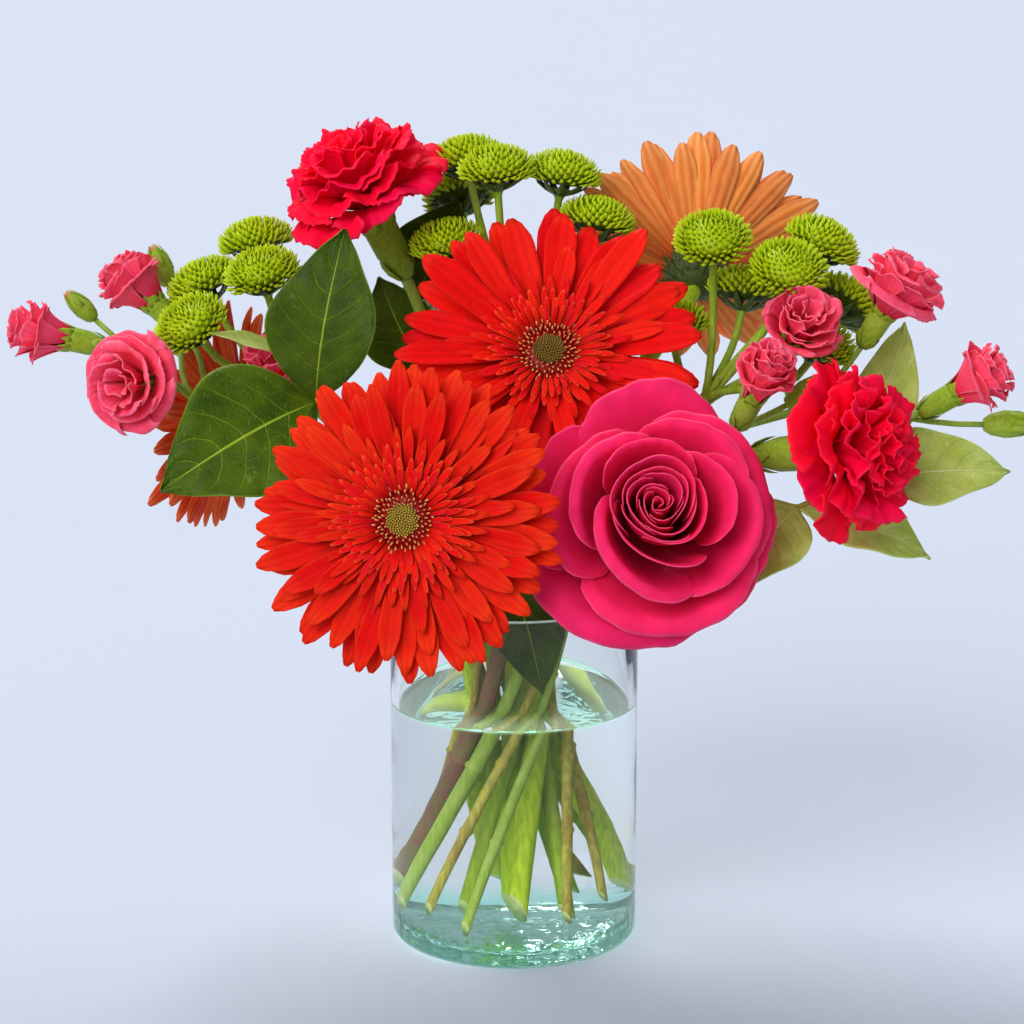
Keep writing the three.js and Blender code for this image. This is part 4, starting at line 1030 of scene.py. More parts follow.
# %% Cut stems
def slanted(mesh, place, onward, radius, cut_material):
    """Slices a stem's foot off at a slant with one plane, and closes it with a pale cut face."""
    bm = bmesh.new()
    bm.from_mesh(mesh)
    across = onward.orthogonal().normalized()
    geometry = bm.verts[:] + bm.edges[:] + bm.faces[:]
    bmesh.ops.bisect_plane(bm, geom=geometry, plane_co=place + onward * 1.6 * radius,
                           plane_no=onward + across * 1.4, clear_inner=True)
    rim = [edge for edge in bm.edges if edge.is_boundary]
    for face in bmesh.ops.holes_fill(bm, edges=rim, sides=0)["faces"]:
        face.material_index = cut_material
    bmesh.ops.recalc_face_normals(bm, faces=bm.faces[:])
    bm.to_mesh(mesh)
    bm.free()


def cut_stem(bm, route, foot_radius, end_radius, sides=14, joints=(), cut_material=1):
    """A round stem that tapers from foot to end, cut at a slant, with a swollen ring at each joint."""
    last = len(route) - 1
    points, radii = [], []
    for j, point in enumerate(route):
        radius = lerp(foot_radius, end_radius, j / last)
        if j in joints:
            ahead = (route[j + 1] - point).normalized()
            for step, swell in ((-1.6, 1.05), (-0.6, 1.3), (0.5, 1.35), (1.6, 1.05)):
                points.append(point + ahead * step)
                radii.append(radius * swell)
        else:
            points.append(point)
            radii.append(radius)
    mesh = tube_mesh(points, radii, sides)
    slanted(mesh, route[0], (route[2] - route[0]).normalized(), foot_radius, cut_material)
    bm.from_mesh(mesh)


print("stem helpers ready")

# %% [markdown]
# ## Four gerberas
# They differ in size, in how far they cup and in where they look. Each is a plan of plain numbers,
# so that one function makes them all, and a fifth one would only need a plan of its own.

# %% Gerbera plans
# A ring is (count, tip radius, width, start height, rise, droop).
GERBERAS = {
    "gerbera_front": dict(
        centre=(-41, -82, 189), axis=facing(-12, 12), slot=(27, 212), foot=11, pulls=(14, 26),
        cup=0.02, seed=11, material=SCARLET, petal_slot="gerbera_scarlet",
        rings=[(25, 61, 9.8, 1.4, 1.6, 2.4), (25, 60, 9.8, 2.6, 2.0, 1.6), (22, 54, 9.0, 3.8, 2.6, 0.8),
               (12, 45, 6.4, 4.8, 3.6, 0.4), (32, 35, 3.4, 5.2, 4.2, 0.0), (38, 29, 2.5, 5.6, 4.8, 0.0),
               (40, 25, 2.2, 6.0, 5.2, 0.0), (40, 21, 1.9, 6.4, 4.8, 0.0), (38, 18, 1.7, 6.8, 3.8, 0.0)]),
    "gerbera_centre": dict(
        centre=(13.6, -18, 243), axis=facing(0, 32), slot=(0, 0), foot=9, pulls=(40, 26),
        cup=0.04, seed=12, material=RED, eye=EYE_BROWN, petal_slot="gerbera_red",
        rings=[(18, 63.5, 12.6, 1.4, 1.6, 2.4), (18, 62, 12.2, 2.8, 2.2, 1.4), (11, 47, 8.6, 4.4, 3.0, 0.6),
               (22, 33, 3.6, 5.4, 4.2, 0.0), (34, 26, 2.4, 5.8, 4.8, 0.0), (36, 22.5, 2.1, 6.2, 4.8, 0.0),
               (36, 19, 1.8, 6.6, 4.0, 0.0)]),
    "gerbera_back": dict(
        centre=(75, 57, 269), axis=facing(176, 24), slot=(14, 30), foot=12, pulls=(50, 14),
        cup=0.34, seed=13, material=ORANGE, petal_slot="gerbera_orange",
        rings=[(21, 55.5, 10.6, 1.4, 1.6, 0.0), (21, 54, 10.6, 2.8, 2.0, 0.0), (12, 42, 7, 4.4, 2.6, 0.0),
               (30, 25, 3.2, 5.8, 3.8, 0.0), (28, 19, 2.2, 6.6, 3.4, 0.0)]),
    "gerbera_left": dict(
        centre=(-120, 56, 204), axis=facing(-116, 6), slot=(27, 120), foot=14, pulls=(24, 36),
        cup=0.2, seed=14, material=RUST, petal_slot="gerbera_rust",
        rings=[(20, 50.5, 9.8, 1.4, 1.6, 0.8), (20, 49, 9.8, 2.8, 2.0, 0.5), (12, 39, 7, 4.4, 2.6, 0.0),
               (30, 24, 3.2, 5.8, 3.8, 0.0), (28, 19, 2.2, 6.6, 3.4, 0.0)]),
}
EYE_RADIUS = 6.2
print("gerberas planned:", len(GERBERAS))

# %% Build the gerberas
for name, plan in GERBERAS.items():
    axis = plan["axis"]
    seat = Vector(plan["centre"]) - axis * FACE
    place = standing(seat, axis)
    petals = gerbera_petals(plan)
    finish_piece(f"{name}_ray_petals", petals, [plan["material"], FILAMENT], plan["petal_slot"],
                 f"{name}_petals", place, 0.45)
    florets = gerbera_florets(plan["seed"], EYE_RADIUS)
    finish_piece(f"{name}_disc_florets", florets, [GOLD_TIPPED], plan["petal_slot"],
                 f"{name}_petals", place)
    eye_place = standing(seat + axis * (FACE + 0.3), axis)
    finish_piece(f"{name}_eye_buds", gerbera_eye(EYE_RADIUS), [plan.get("eye", EYE_OLIVE)],
                 "gerbera_eye", f"{name}_eye", eye_place)
    green = new_shape()
    route = stem_route(plan["slot"], plan["foot"], seat - axis * 0.75 * CALYX_DEPTH, axis, plan["pulls"])
    cut_stem(green, route, 4.0, 3.4, cut_material=3)
    gerbera_cup(green, seat, axis, plan["seed"])
    finish_piece(f"{name}_stem_and_bracts", green, [LIME_STEM, BRACT_GREEN, HAIR, CUT_PITH],
                 "gerbera_stem", f"{name}_stem")

# %% [markdown]
# ## The rose
# An open rose has no whorls that repeat: each petal is its own curved wall, and its rim is an arc of
# a spiral, one end tucked inside a neighbour and the other lying outside. A ring of equal petals
# would look like a dahlia. So each petal is one line of a table, listed from the heart outwards.
# Inner walls stand upright and close to each other, outer petals lie open, and the rims roll
# outwards, which catches the light.

# %% Rose petals
ROSE_HIP, SEPALS = 14.0, 5
# A petal is (direction, half span, rim radii at its start, middle and end, rim height, roll, wave).
# Angles are in degrees, counted from the right, anticlockwise as the bloom is looked into.
ROSE_PETALS = [
    (20, 120, (0.8, 1.7, 2.8), 32.6, 0.0, 0.1), (200, 105, (1.2, 2.6, 4.2), 33.4, 0.1, 0.1),
    (320, 84, (2.4, 3.7, 5.4), 34.4, 0.2, 0.2), (70, 80, (3.4, 4.7, 6.4), 35.2, 0.2, 0.2),
    (190, 76, (4.4, 5.8, 7.4), 36.0, 0.3, 0.2), (125, 70, (5.6, 7.0, 8.6), 36.8, 0.3, 0.2),
    (305, 76, (6.0, 7.6, 9.2), 36.8, 0.3, 0.3), (235, 66, (7.0, 8.8, 10.4), 37.2, 0.3, 0.3),
    (65, 72, (7.8, 9.6, 11.4), 38.2, 0.4, 0.3), (15, 66, (8.8, 10.6, 12.2), 38.0, 0.4, 0.3),
    (185, 80, (9.8, 11.4, 12.6), 39.0, 0.5, 0.3), (120, 72, (11.2, 12.5, 13.4), 39.6, 0.4, 0.3),
    (305, 78, (11.4, 13.2, 14.2), 38.6, 0.5, 0.3), (250, 66, (13.2, 14.6, 16.4), 38.0, 0.6, 0.4),
    (65, 84, (12.6, 15.2, 16.6), 40.4, 0.6, 0.4), (155, 68, (15.2, 16.6, 18.0), 40.0, 0.7, 0.4),
    (325, 76, (15.0, 17.4, 17.2), 37.6, 1.0, 0.4), (242, 68, (15.8, 20.5, 29.0), 37.0, 0.8, 0.5),
    (100, 56, (21.0, 22.6, 25.0), 38.0, 1.2, 0.7), (22, 52, (27.5, 26.5, 21.5), 37.6, 1.3, 0.6),
    (230, 62, (18.6, 26.0, 40.0), 33.0, 4.0, 0.9), (150, 60, (24.0, 30.0, 33.0), 33.4, 3.4, 0.9),
    (350, 64, (37.0, 38.5, 29.0), 29.5, 2.0, 0.8), (60, 50, (36.0, 35.0, 31.0), 31.0, 2.0, 0.8),
    (165, 58, (33.0, 37.5, 45.0), 27.0, 2.4, 1.0), (285, 60, (43.0, 44.5, 41.0), 21.5, 4.0, 1.8),
    (28, 66, (42.0, 42.5, 38.0), 22.5, 3.0, 1.6), (95, 44, (48.0, 50.5, 44.0), 18.0, 2.0, 2.2),
    (168, 42, (48.0, 50.0, 51.0), 15.5, 1.0, 1.2), (242, 60, (54.0, 50.5, 46.0), 14.5, 4.2, 2.6),
    (318, 46, (45.0, 43.5, 40.0), 14.0, 2.4, 2.2), (2, 44, (43.0, 44.5, 44.0), 15.0, 2.6, 1.8),
]
# How far out and how far up a petal has come on its way from root to rim, inner and outer ones.
UPRIGHT = ([0.0, 0.56, 0.82, 0.94, 0.99, 1.0, 0.985], [0.0, 0.13, 0.32, 0.54, 0.76, 0.92, 1.0])
OPEN = ([0.0, 0.26, 0.48, 0.67, 0.83, 0.94, 1.0], [0.0, 0.11, 0.31, 0.55, 0.79, 0.95, 1.0])


def rose_petal(direction, half, rim, height, roll, wave, phase):
    """One petal's shape, from its root close to the axis up to its rolled rim."""
    openness = min(1.0, max(rim) / 46)
    corner = lerp(0.16, 0.46, openness)
    half *= lerp(1.0, 1.16, openness)
    root_radius, root_height = 2.0 + 7.0 * openness, 12.5 - 10.0 * openness
    across = [lerp(a, b, openness) for a, b in zip(UPRIGHT[0], OPEN[0])]
    upward = [lerp(a, b, openness) for a, b in zip(UPRIGHT[1], OPEN[1])]

    def shape(u, v):
        span = math.radians(half) * lerp(0.6, 1.0, min(1.0, 1.5 * v))
        point = 0.085 * openness * (1 - (1 - abs(u)) ** 3)
        nicks = 0.015 * v ** 12 * (math.sin(29 * u + 5 * phase) + math.sin(17 * u + 2 * phase))
        reach = v * (1 - corner * abs(u) ** 5 - 0.05 * u * u - point - 0.02 - nicks)
        ripple = wave * v ** 5 * (math.sin(2.7 * u + phase) + 0.45 * math.sin(8.3 * u + 2 * phase))
        crinkle = 0.3 * wave * v ** 10 * math.sin(21 * u + 3 * phase)
        crinkle -= 0.7 * wave * v * v / (1 + 90 * (u - 0.6 * math.sin(phase)) ** 2)
        rolled = roll * max(0.0, (v - 0.78) / 0.22) ** 2 * (1 - u ** 4)
        r = lerp(root_radius, along(rim, (u + 1) / 2), along(across, reach)) + rolled + 0.5 * ripple
        z = lerp(root_height, height, along(upward, reach)) - 0.75 * rolled + ripple + crinkle
        angle = math.radians(direction) + span * u
        r *= 1 + 0.085 * (1 - openness) * v * math.cos(3 * angle - 0.22 * rim[1])
        return Vector((r * math.cos(angle), r * math.sin(angle), z))

    return shape


def rose_petals(seed):
    """All the petals of the table, each with its own waves and tone."""
    rng = random.Random(seed)
    bm = new_shape()
    for petal in ROSE_PETALS:
        add_sheet(bm, 36, 22, rose_petal(*petal, rng.uniform(0, 6)), rng.random())
    return bm


print("rose petals", len(ROSE_PETALS))

# %% [markdown]
# A rose's stem is woody and brown-green. It swells to a round hip under the bloom, and five pointed
# sepals fold back from it. Both are tubes, the sepals squeezed flat.

# %% Rose
ROSE = dict(seat=Vector((52, -50, 180)), axis=facing(3, 27), slot=(27, 270), foot=13, pulls=(10, 16))
rose_place = standing(ROSE["seat"], ROSE["axis"])
finish_piece("rose_bloom", rose_petals(31), [ROSE_PINK], "rose_petal", "rose_petals", rose_place, 0.4)

green = new_shape()
rose_end = ROSE["seat"] - ROSE["axis"] * 0.8 * ROSE_HIP
rose_route = stem_route(ROSE["slot"], ROSE["foot"], rose_end, ROSE["axis"], ROSE["pulls"])
cut_stem(green, rose_route, 3.5, 3.0, joints=(3,))
hip = tube_mesh(axis_line(-ROSE_HIP, -11, -7, -3, -0.4), (3.1, 5.6, 7.8, 8.2, 8.0), 18)
add_copy(green, hip, rose_place)
sepal_curve = side_line((6, -1.2), (12, -2.2), (18, -5), (24, -10))
sepal = tube_mesh(sepal_curve, (3.4, 3.2, 1.8, 0.2), 8, 0.16, SIDEWAYS)
add_ring(green, sepal, SEPALS, rose_place)
finish_piece("rose_stem_and_hip", green, [ROSE_STEM_GREEN, CUT_PITH], "stem", "rose_stem")

# %% [markdown]
# ## Carnations
# A carnation is all frill. Its petals are wedges whose far edge is longer than the space it has, so
# it crimps, and that edge is cut in small teeth. Two sine waves that grow towards the edge give the
# crimp, a zigzag gives the teeth, and whorls from flat to upright fill the bloom.


# %% Frilled petals
def frilled_petal(turn, half_angle, radii, heights, frill, teeth, crimps, phase, step, tilt):
    """One carnation petal: its frill stands off its own slope, and grows towards the edge."""

    def shape(u, v):
        zigzag = 0.05 * v ** 8 * (1 - 2 * abs((teeth * (u + 1) / 2 + phase) % 1 - 0.5))
        reach = v * (1 - 0.10 * u * u + 0.04 * math.sin(3.1 * u + phase)) - zigzag
        r, z = along(radii, reach), along(heights, reach)
        dr, dz = r - along(radii, reach - 0.05), z - along(heights, reach - 0.05)
        slope = math.hypot(dr, dz) or 1.0
        swing = crimps * u
        folds = math.sin(swing + phase) + 0.5 * math.sin(2.1 * swing + 2.3 * phase)
        folds += 0.22 * math.sin(4.1 * swing + phase)
        crimp = frill * v ** 1.7 * folds
        r += crimp * dz / slope + step * u
        z -= crimp * dr / slope - 0.4 * step * u - tilt * u * v * r * half_angle
        angle = turn + half_angle * u * lerp(0.5, 1.0, v)
        return Vector((r * math.cos(angle), r * math.sin(angle), z))

    return shape


def frilled_bloom(seed, whorls, columns, rows, teeth, crimps):
    """A bloom from whorls of (count, half angle, radii, heights, frill, step)."""
    rng = random.Random(seed)
    bm = new_shape()
    for count, half_angle, radii, heights, frill, step in whorls:
        first = rng.uniform(0, 2 * math.pi)
        for i in range(count):
            turn = first + 2 * math.pi * (i + rng.uniform(-0.2, 0.2)) / count
            size = rng.uniform(0.84, 1.05)
            shape = frilled_petal(
                turn, half_angle=half_angle * rng.uniform(0.85, 1.15),
                radii=[radii[0]] + [r * size for r in radii[1:]],
                heights=[h * rng.uniform(0.93, 1.04) for h in heights],
                frill=frill * rng.uniform(0.7, 1.25), teeth=teeth, crimps=crimps,
                phase=rng.uniform(0, 6), step=step, tilt=rng.uniform(-0.22, 0.22))
            add_sheet(bm, columns, rows, shape, rng.random())
    return bm


print("frilled petals ready")

# %% [markdown]
# Under the petals a carnation has a long green tube with five pointed teeth and four scales at its
# foot. Its stem has swollen joints, each with narrow leaves. Teeth, scales and leaves are one kind
# of form, a tapered tube squeezed flat, which is quicker than a sheet that has to be thickened.


# %% Calyx and narrow leaves
CALYX_TEETH, CALYX_SCALES = 5, 4


def widths_of(radius, *shares):
    """A tube's radii, as shares of one radius."""
    return [share * radius for share in shares]


def flared_calyx(bm, place, length, radius, spin):
    """The green tube under a carnation, its pointed teeth and the small scales at its foot."""
    levels = axis_line(-length, -0.86 * length, -0.55 * length, -0.2 * length, -0.3)
    tube = tube_mesh(levels, widths_of(radius, 0.42, 0.62, 0.95, 0.98, 1.04), 16)
    add_copy(bm, tube, place, 1)
    high = 0.27 * length
    tooth_curve = side_line((radius * 0.90, -0.14 * length), (radius * 0.99, -0.02 * length),
                            (radius * 1.10, 0.5 * high), (radius * 1.26, high))
    tooth = tube_mesh(tooth_curve, widths_of(radius, 0.52, 0.58, 0.42, 0.04), 10, 0.14, SIDEWAYS)
    add_ring(bm, tooth, CALYX_TEETH, place, spin, 1)
    scale_curve = side_line((0.40 * radius, -1.0 * length), (0.72 * radius, -0.86 * length),
                            (0.93 * radius, -0.70 * length), (1.0 * radius, -0.58 * length))
    scale = tube_mesh(scale_curve, widths_of(radius, 0.30, 0.46, 0.34, 0.04), 8, 0.16, SIDEWAYS)
    add_ring(bm, scale, CALYX_SCALES, place, 0.4, 1)


def narrow_leaf(bm, at, onward, angle, length, width):
    """One of the narrow leaves that stand at a carnation stem's joints."""
    points = [point * length for point in side_line((0, 0), (0.12, 0.35), (0.34, 0.7), (0.68, 0.92))]
    leaf = tube_mesh(points, widths_of(width, 0.5, 0.55, 0.4, 0.05), 6, 0.25, SIDEWAYS)
    add_copy(bm, leaf, standing(at, onward, angle))


print("teeth on a calyx:", CALYX_TEETH, "scales:", CALYX_SCALES)

# %% [markdown]
# ## Two large carnations
# Both heads have the same seven whorls, from a flat skirt to an upright heart, and a seed and a turn
# of their own. A third one would only need one more plan.

# %% Two large carnations
# A whorl is (count, half angle, radii and heights from root to edge, frill, step).
CARNATION_WHORLS = [
    (8, 0.62, [4, 11, 20, 28, 34], [5, 8, 10.5, 10.5, 7.5], 2.2, 0.8),
    (8, 0.62, [4, 10, 18, 25, 31], [6, 11, 15.5, 18, 16.5], 2.4, 1.0),
    (7, 0.66, [4, 9, 15, 21, 26.5], [7, 13, 19, 24, 24.5], 2.5, 1.2),
    (7, 0.68, [3.8, 7.5, 11.5, 16, 20.5], [8, 15, 22, 28, 30], 2.2, 1.2),
    (5, 0.80, [3.4, 6, 8.5, 11, 14.5], [9, 16, 24, 30, 33.5], 2.0, 1.0),
    (4, 0.95, [2.6, 4, 5.2, 6.5, 9], [10, 17, 25, 31, 34.5], 1.6, 0.8),
    (3, 1.10, [1.2, 1.8, 2.2, 3, 4], [11, 18, 25, 31, 34], 1.2, 0.5),
]
CARNATIONS = {
    "carnation_top": dict(
        seat=Vector((-56, 34, 289)), axis=Vector((-0.42, -0.24, 0.87)).normalized(), spin=0.2,
        slot=(14, 150), foot=15, pulls=(50, 40), seed=41),
    "carnation_side": dict(
        seat=Vector((116, -35, 206)), axis=Vector((0.85, -0.5, 0.16)).normalized(), spin=0.5,
        slot=(27, 300), foot=9, pulls=(20, 26), seed=42),
}
CARNATION_SCALE, CARNATION_CALYX = 1.08, 28.0
for name, plan in CARNATIONS.items():
    place = standing(plan["seat"], plan["axis"], plan["spin"])
    petals = frilled_bloom(plan["seed"], CARNATION_WHORLS, columns=36, rows=11, teeth=12, crimps=4.2)
    big = place @ Matrix.Scale(CARNATION_SCALE, 4)
    finish_piece(f"{name}_frilled_petals", petals, [CARMINE], "carnation_petal",
                 f"{name}_petals", big, 0.35)
    green = new_shape()
    end = plan["seat"] - plan["axis"] * 0.9 * CARNATION_CALYX
    route = stem_route(plan["slot"], plan["foot"], end, plan["axis"], plan["pulls"])
    cut_stem(green, route, 2.7, 2.4, joints=(3, 8), cut_material=2)
    flared_calyx(green, place, CARNATION_CALYX, 7.2, 0.3)
    finish_piece(f"{name}_stem_and_calyx", green, [GREY_STEM, CALYX_GREEN, CUT_PITH], "stem",
                 f"{name}_stem")
print("petals on a large carnation:", sum(whorl[0] for whorl in CARNATION_WHORLS))

# %% [markdown]
# ## Spray carnations
# A spray is one stem that forks to several small blooms and closed buds. A bloom that has opened
# less stands narrower and taller. A shrunken copy of the large carnation would stay as flat as that
# one, so here one number, how far a bloom has opened, drives the whorls' radii and heights.

# %% Small blooms and buds
SPRAY_CALYX, SPRAY_BRANCH, SPRAY_STAGGER = 17.0, 1.15, 4.5


def spray_whorls(opened):
    """The whorls of a small bloom, in the same terms as those of the large one."""
    rim = 20 * opened
    fall = 10 * opened
    outer_heights = [-1, 4.5, 9.5, 14.5 - 0.6 * fall, 17 - fall]
    second_heights = [0, 7, 12.5, 17 - 0.3 * fall, 20 - 0.6 * fall]
    third_heights = [1, 9, 15, 19, 21.5 - 0.3 * fall]
    return [
        (6, 0.84, [4.4, 0.54 * rim, 0.80 * rim, 0.95 * rim, rim], outer_heights, 1.1, 0.9),
        (6, 0.78, [3.8, 0.46 * rim, 0.70 * rim, 0.84 * rim, 0.90 * rim], second_heights, 1.4, 1.0),
        (5, 0.84, [3.0, 0.34 * rim, 0.52 * rim, 0.64 * rim, 0.72 * rim], third_heights, 1.4, 0.9),
        (4, 0.95, [2.2, 0.22 * rim, 0.34 * rim, 0.44 * rim, 0.52 * rim], [2, 10, 16, 20, 22], 1.2, 0.8),
        (3, 1.05, [1.2, 0.10 * rim, 0.16 * rim, 0.22 * rim, 0.30 * rim],
         [3, 11, 16.5, 20.5, 22.5], 0.9, 0.5),
    ]


def closed_bud(bm, place, length, radius):
    """A bud still shut in its calyx, with a pink tip that just shows."""
    levels = axis_line(*[share * length for share in (0, 0.12, 0.4, 0.68, 0.88, 1.0)])
    bud = tube_mesh(levels, widths_of(radius, 0.45, 0.75, 1.0, 0.82, 0.5, 0.1), 14)
    add_copy(bm, bud, place, 1)
    tip_levels = axis_line(*[share * length for share in (0.7, 0.95, 1.06)])
    tip = tube_mesh(tip_levels, widths_of(radius, 0.62, 0.36, 0.05), 8)
    add_copy(bm, tip, place, 2)
    tooth_curve = side_line((0.92 * radius, 0.45 * length), (0.82 * radius, 0.7 * length),
                            (0.55 * radius, 0.92 * length), (0.35 * radius, 1.05 * length))
    tooth = tube_mesh(tooth_curve, widths_of(radius, 0.3, 0.34, 0.22, 0.04), 6, 0.25, SIDEWAYS)
    add_ring(bm, tooth, CALYX_TEETH, place, material=1)


print("small blooms have", sum(whorl[0] for whorl in spray_whorls(1.0)), "petals")

# %% [markdown]
# ## Two sprays
# Each spray has one fork low down and one high up, and every bloom and bud branches off near one of
# them. The plans say where each bloom sits and looks, how far it has opened, and which fork it is on.

# %% Spray plans
# A bloom is (seat, axis, open, fork); a bud is (seat, axis, length, radius, fork).
SPRAYS = {
    "spray_left": dict(
        slot=(27, 150), foot=10, pulls=(24, 20), fork=[(-84, -10, 203), (-126, -5, 221)],
        blooms=[((-176, -5, 246), (-0.95, -0.1, 0.25), 0.62, 1),
                ((-146, 28, 256), (-0.7, 0.15, 0.66), 0.75, 1),
                ((-143, -22, 231), (-0.42, -0.88, 0.12), 1.0, 1),
                ((-92, 3, 225), (-0.3, -0.35, 0.88), 0.62, 0)],
        buds=[((-167, 12, 251), (-0.72, 0, 0.7), 15, 4.2, 1),
              ((-142, 49, 260), (-0.35, 0.1, 0.9), 17, 5, 1)]),
    "spray_right": dict(
        slot=(27, 0), foot=10, pulls=(24, 20), fork=[(88, 6, 208), (118, -2, 218)],
        blooms=[((145, -8, 257), (0.5, -0.15, 0.85), 1.0, 1),
                ((109, -12, 247), (0.25, -0.7, 0.62), 0.78, 1),
                ((92, -34, 228), (0.35, -0.4, 0.85), 0.64, 0),
                ((174, -9, 225), (0.83, -0.1, 0.52), 0.72, 1)],
        buds=[((106, -22, 222), (0.86, -0.15, 0.5), 22, 6, 0),
              ((186, -3, 211), (0.98, 0.02, 0.02), 21, 5.6, 1)]),
}
print("sprays planned:", len(SPRAYS))


# %% Build the sprays
def branch_off(green, forks, fork, made, end, arrive):
    """A thin branch that starts at one of the forks, or in turn one or two steps below it."""
    onward = (forks[1] - forks[0]).normalized()
    start = forks[fork] - onward * SPRAY_STAGGER * (made % 3)
    branch = offshoot(start, onward, end, arrive)
    add_tube(green, branch, [SPRAY_BRANCH] * len(branch), 9)
    return branch


for name, plan in SPRAYS.items():
    forks = [Vector(point) for point in plan["fork"]]
    low, high = forks
    onward = (high - low).normalized()
    green = new_shape()
    route = stem_route(plan["slot"], plan["foot"], low, onward, plan["pulls"])
    cut_stem(green, route + [low.lerp(high, 0.5), high], 2.0, 1.7, 10, joints=(2, 4, 9), cut_material=3)
    made = 1
    for i, (seat, axis, opened, fork) in enumerate(plan["blooms"]):
        seat, axis = Vector(seat), Vector(axis).normalized()
        place = standing(seat, axis, 0.9 * i)
        bloom = frilled_bloom(60 + i + len(name), spray_whorls(opened), columns=24, rows=9, teeth=10,
                              crimps=2.6)
        finish_piece(f"{name}_bloom_{i + 1}_petals", bloom, [CORAL], "spray_petal",
                     f"{name}_bloom_{i + 1}", place, 0.3)
        branch = branch_off(green, forks, fork, made, seat - axis * (SPRAY_CALYX - 1), axis)
        flared_calyx(green, place, SPRAY_CALYX, 5.0, 0.2)
        narrow_leaf(green, branch[2], (branch[3] - branch[2]).normalized(), 1.5 * i, 11, 2.4)
        made += 1
    for i, (seat, axis, length, radius, fork) in enumerate(plan["buds"]):
        seat, axis = Vector(seat), Vector(axis).normalized()
        branch = branch_off(green, forks, fork, made, seat + axis * 1.0, axis)
        closed_bud(green, standing(seat, axis), length, radius)
        narrow_leaf(green, branch[3], (branch[4] - branch[3]).normalized(), 2.0 + i, 9, 2.0)
        made += 1
    finish_piece(f"{name}_stems_and_calyxes", green, [GREY_STEM, CALYX_GREEN, CORAL, CUT_PITH],
                 "stem", f"{name}_stem")
    print(name, "blooms", len(plan["blooms"]), "buds", len(plan["buds"]))

# %% [markdown]
# ## Button chrysanthemums
# A green button is a dome of short florets that curl in over its crown. They stand on a sunflower
# spiral over the dome, longer at the rim. They and the dome are painted dark towards their feet, a
# painted shade that gives the head its depth. Seventeen heads could each have a draw of their own.
# From a step away nobody sees that, so three heads are made once, and each place gets one of them,
# turned its own way.

# %% Pom heads
POM_TO_CENTRE = 7.5
POM_FLORETS = 230


def pom_mesh(seed):
    """One head: a dome painted dark towards its foot as shade, and curled florets on a spiral from its
    crown to its rim.
    """
    rng = random.Random(seed)
    bm = new_shape()
    add_tube(bm, axis_line(1.2, 3.5, 6.5, 10.2, 12.2), (7.5, 11.3, 11.8, 9.0, 2.5), 16)
    curve = side_line((0, 0), (0.5, 2.2), (0.25, 4.4), (-0.9, 6.0))
    floret = tube_mesh(curve, (0.6, 0.95, 1.05, 0.35), 6, 0.5, SIDEWAYS)
    for i in range(POM_FLORETS):
        share = (i + 0.5) / POM_FLORETS
        from_top = share ** 0.62 * math.radians(104)
        at = Vector((10.3 * math.sin(from_top), 0, 4.6 + 7.4 * math.cos(from_top)))
        lean = from_top * 0.9 + rng.uniform(-0.12, 0.12)
        size = lerp(0.55, 0.98, min(1.0, share * 1.5)) * rng.uniform(0.9, 1.08)
        turn = Matrix.Rotation(i * GOLDEN_ANGLE, 4, "Z")
        tilt = Matrix.Rotation(lean, 4, "Y") @ Matrix.Rotation(rng.uniform(-0.3, 0.3), 4, "Z")
        add_copy(bm, floret, turn @ Matrix.Translation(at) @ tilt @ Matrix.Scale(size, 4))
    mesh = bpy.data.meshes.new("pom_head")
    bm.to_mesh(mesh)
    bm.free()
    return mesh


pom_heads = [pom_mesh(seed) for seed in (71, 72, 73)]
print("florets on a head:", POM_FLORETS)

# %% [markdown]
# ## Three sprays of buttons
# Their heads stand close together at different heights. Each has a thin branch that swells into a
# small cup of bracts under the florets, and the branches leave the main stem one after another.

# %% Pom plans
# A head is (centre, axis).
POM_SPRAYS = {
    "poms_left": dict(
        slot=(14, 210), foot=12, fork=(-84, 24, 218), arrive=(-0.62, 0.1, 0.78), pulls=(30, 30),
        heads=[((-106, 46, 281), (-0.2, 0.1, 0.97)), ((-101, 17, 271), (-0.2, -0.25, 0.93)),
               ((-127, 33, 265), (-0.45, 0, 0.9)), ((-128, -5, 253), (-0.45, -0.4, 0.8))]),
    "poms_top": dict(
        slot=(14, 90), foot=10, fork=(2, 24, 232), arrive=(0, 0.1, 1), pulls=(40, 30),
        heads=[((-20, 50, 314), (-0.2, 0.15, 0.97)), ((-7, 24, 312), (-0.05, -0.12, 0.99)),
               ((20, 36, 309), (0.15, 0, 0.98)), ((-23, 72, 297), (-0.15, 0.5, 0.85)),
               ((-27, 28, 282), (-0.15, -0.1, 0.97)), ((34, 30, 291), (0.2, 0.1, 0.95))]),
    "poms_right": dict(
        slot=(14, 330), foot=12, fork=(76, 0, 222), arrive=(0.5, -0.05, 0.86), pulls=(30, 24),
        heads=[((78, 2, 286), (-0.05, -0.45, 0.86)), ((93, 22, 264), (0.15, 0.2, 0.9)),
               ((108, -6, 275), (0.15, -0.5, 0.84)), ((124, 18, 283), (0.45, -0.1, 0.86)),
               ((136, 32, 256), (0.6, 0.4, 0.6)), ((62, 14, 250), (-0.2, -0.2, 0.92)),
               ((122, 4, 245), (0.4, -0.2, 0.85))]),
}
print("heads planned:", sum(len(plan["heads"]) for plan in POM_SPRAYS.values()))

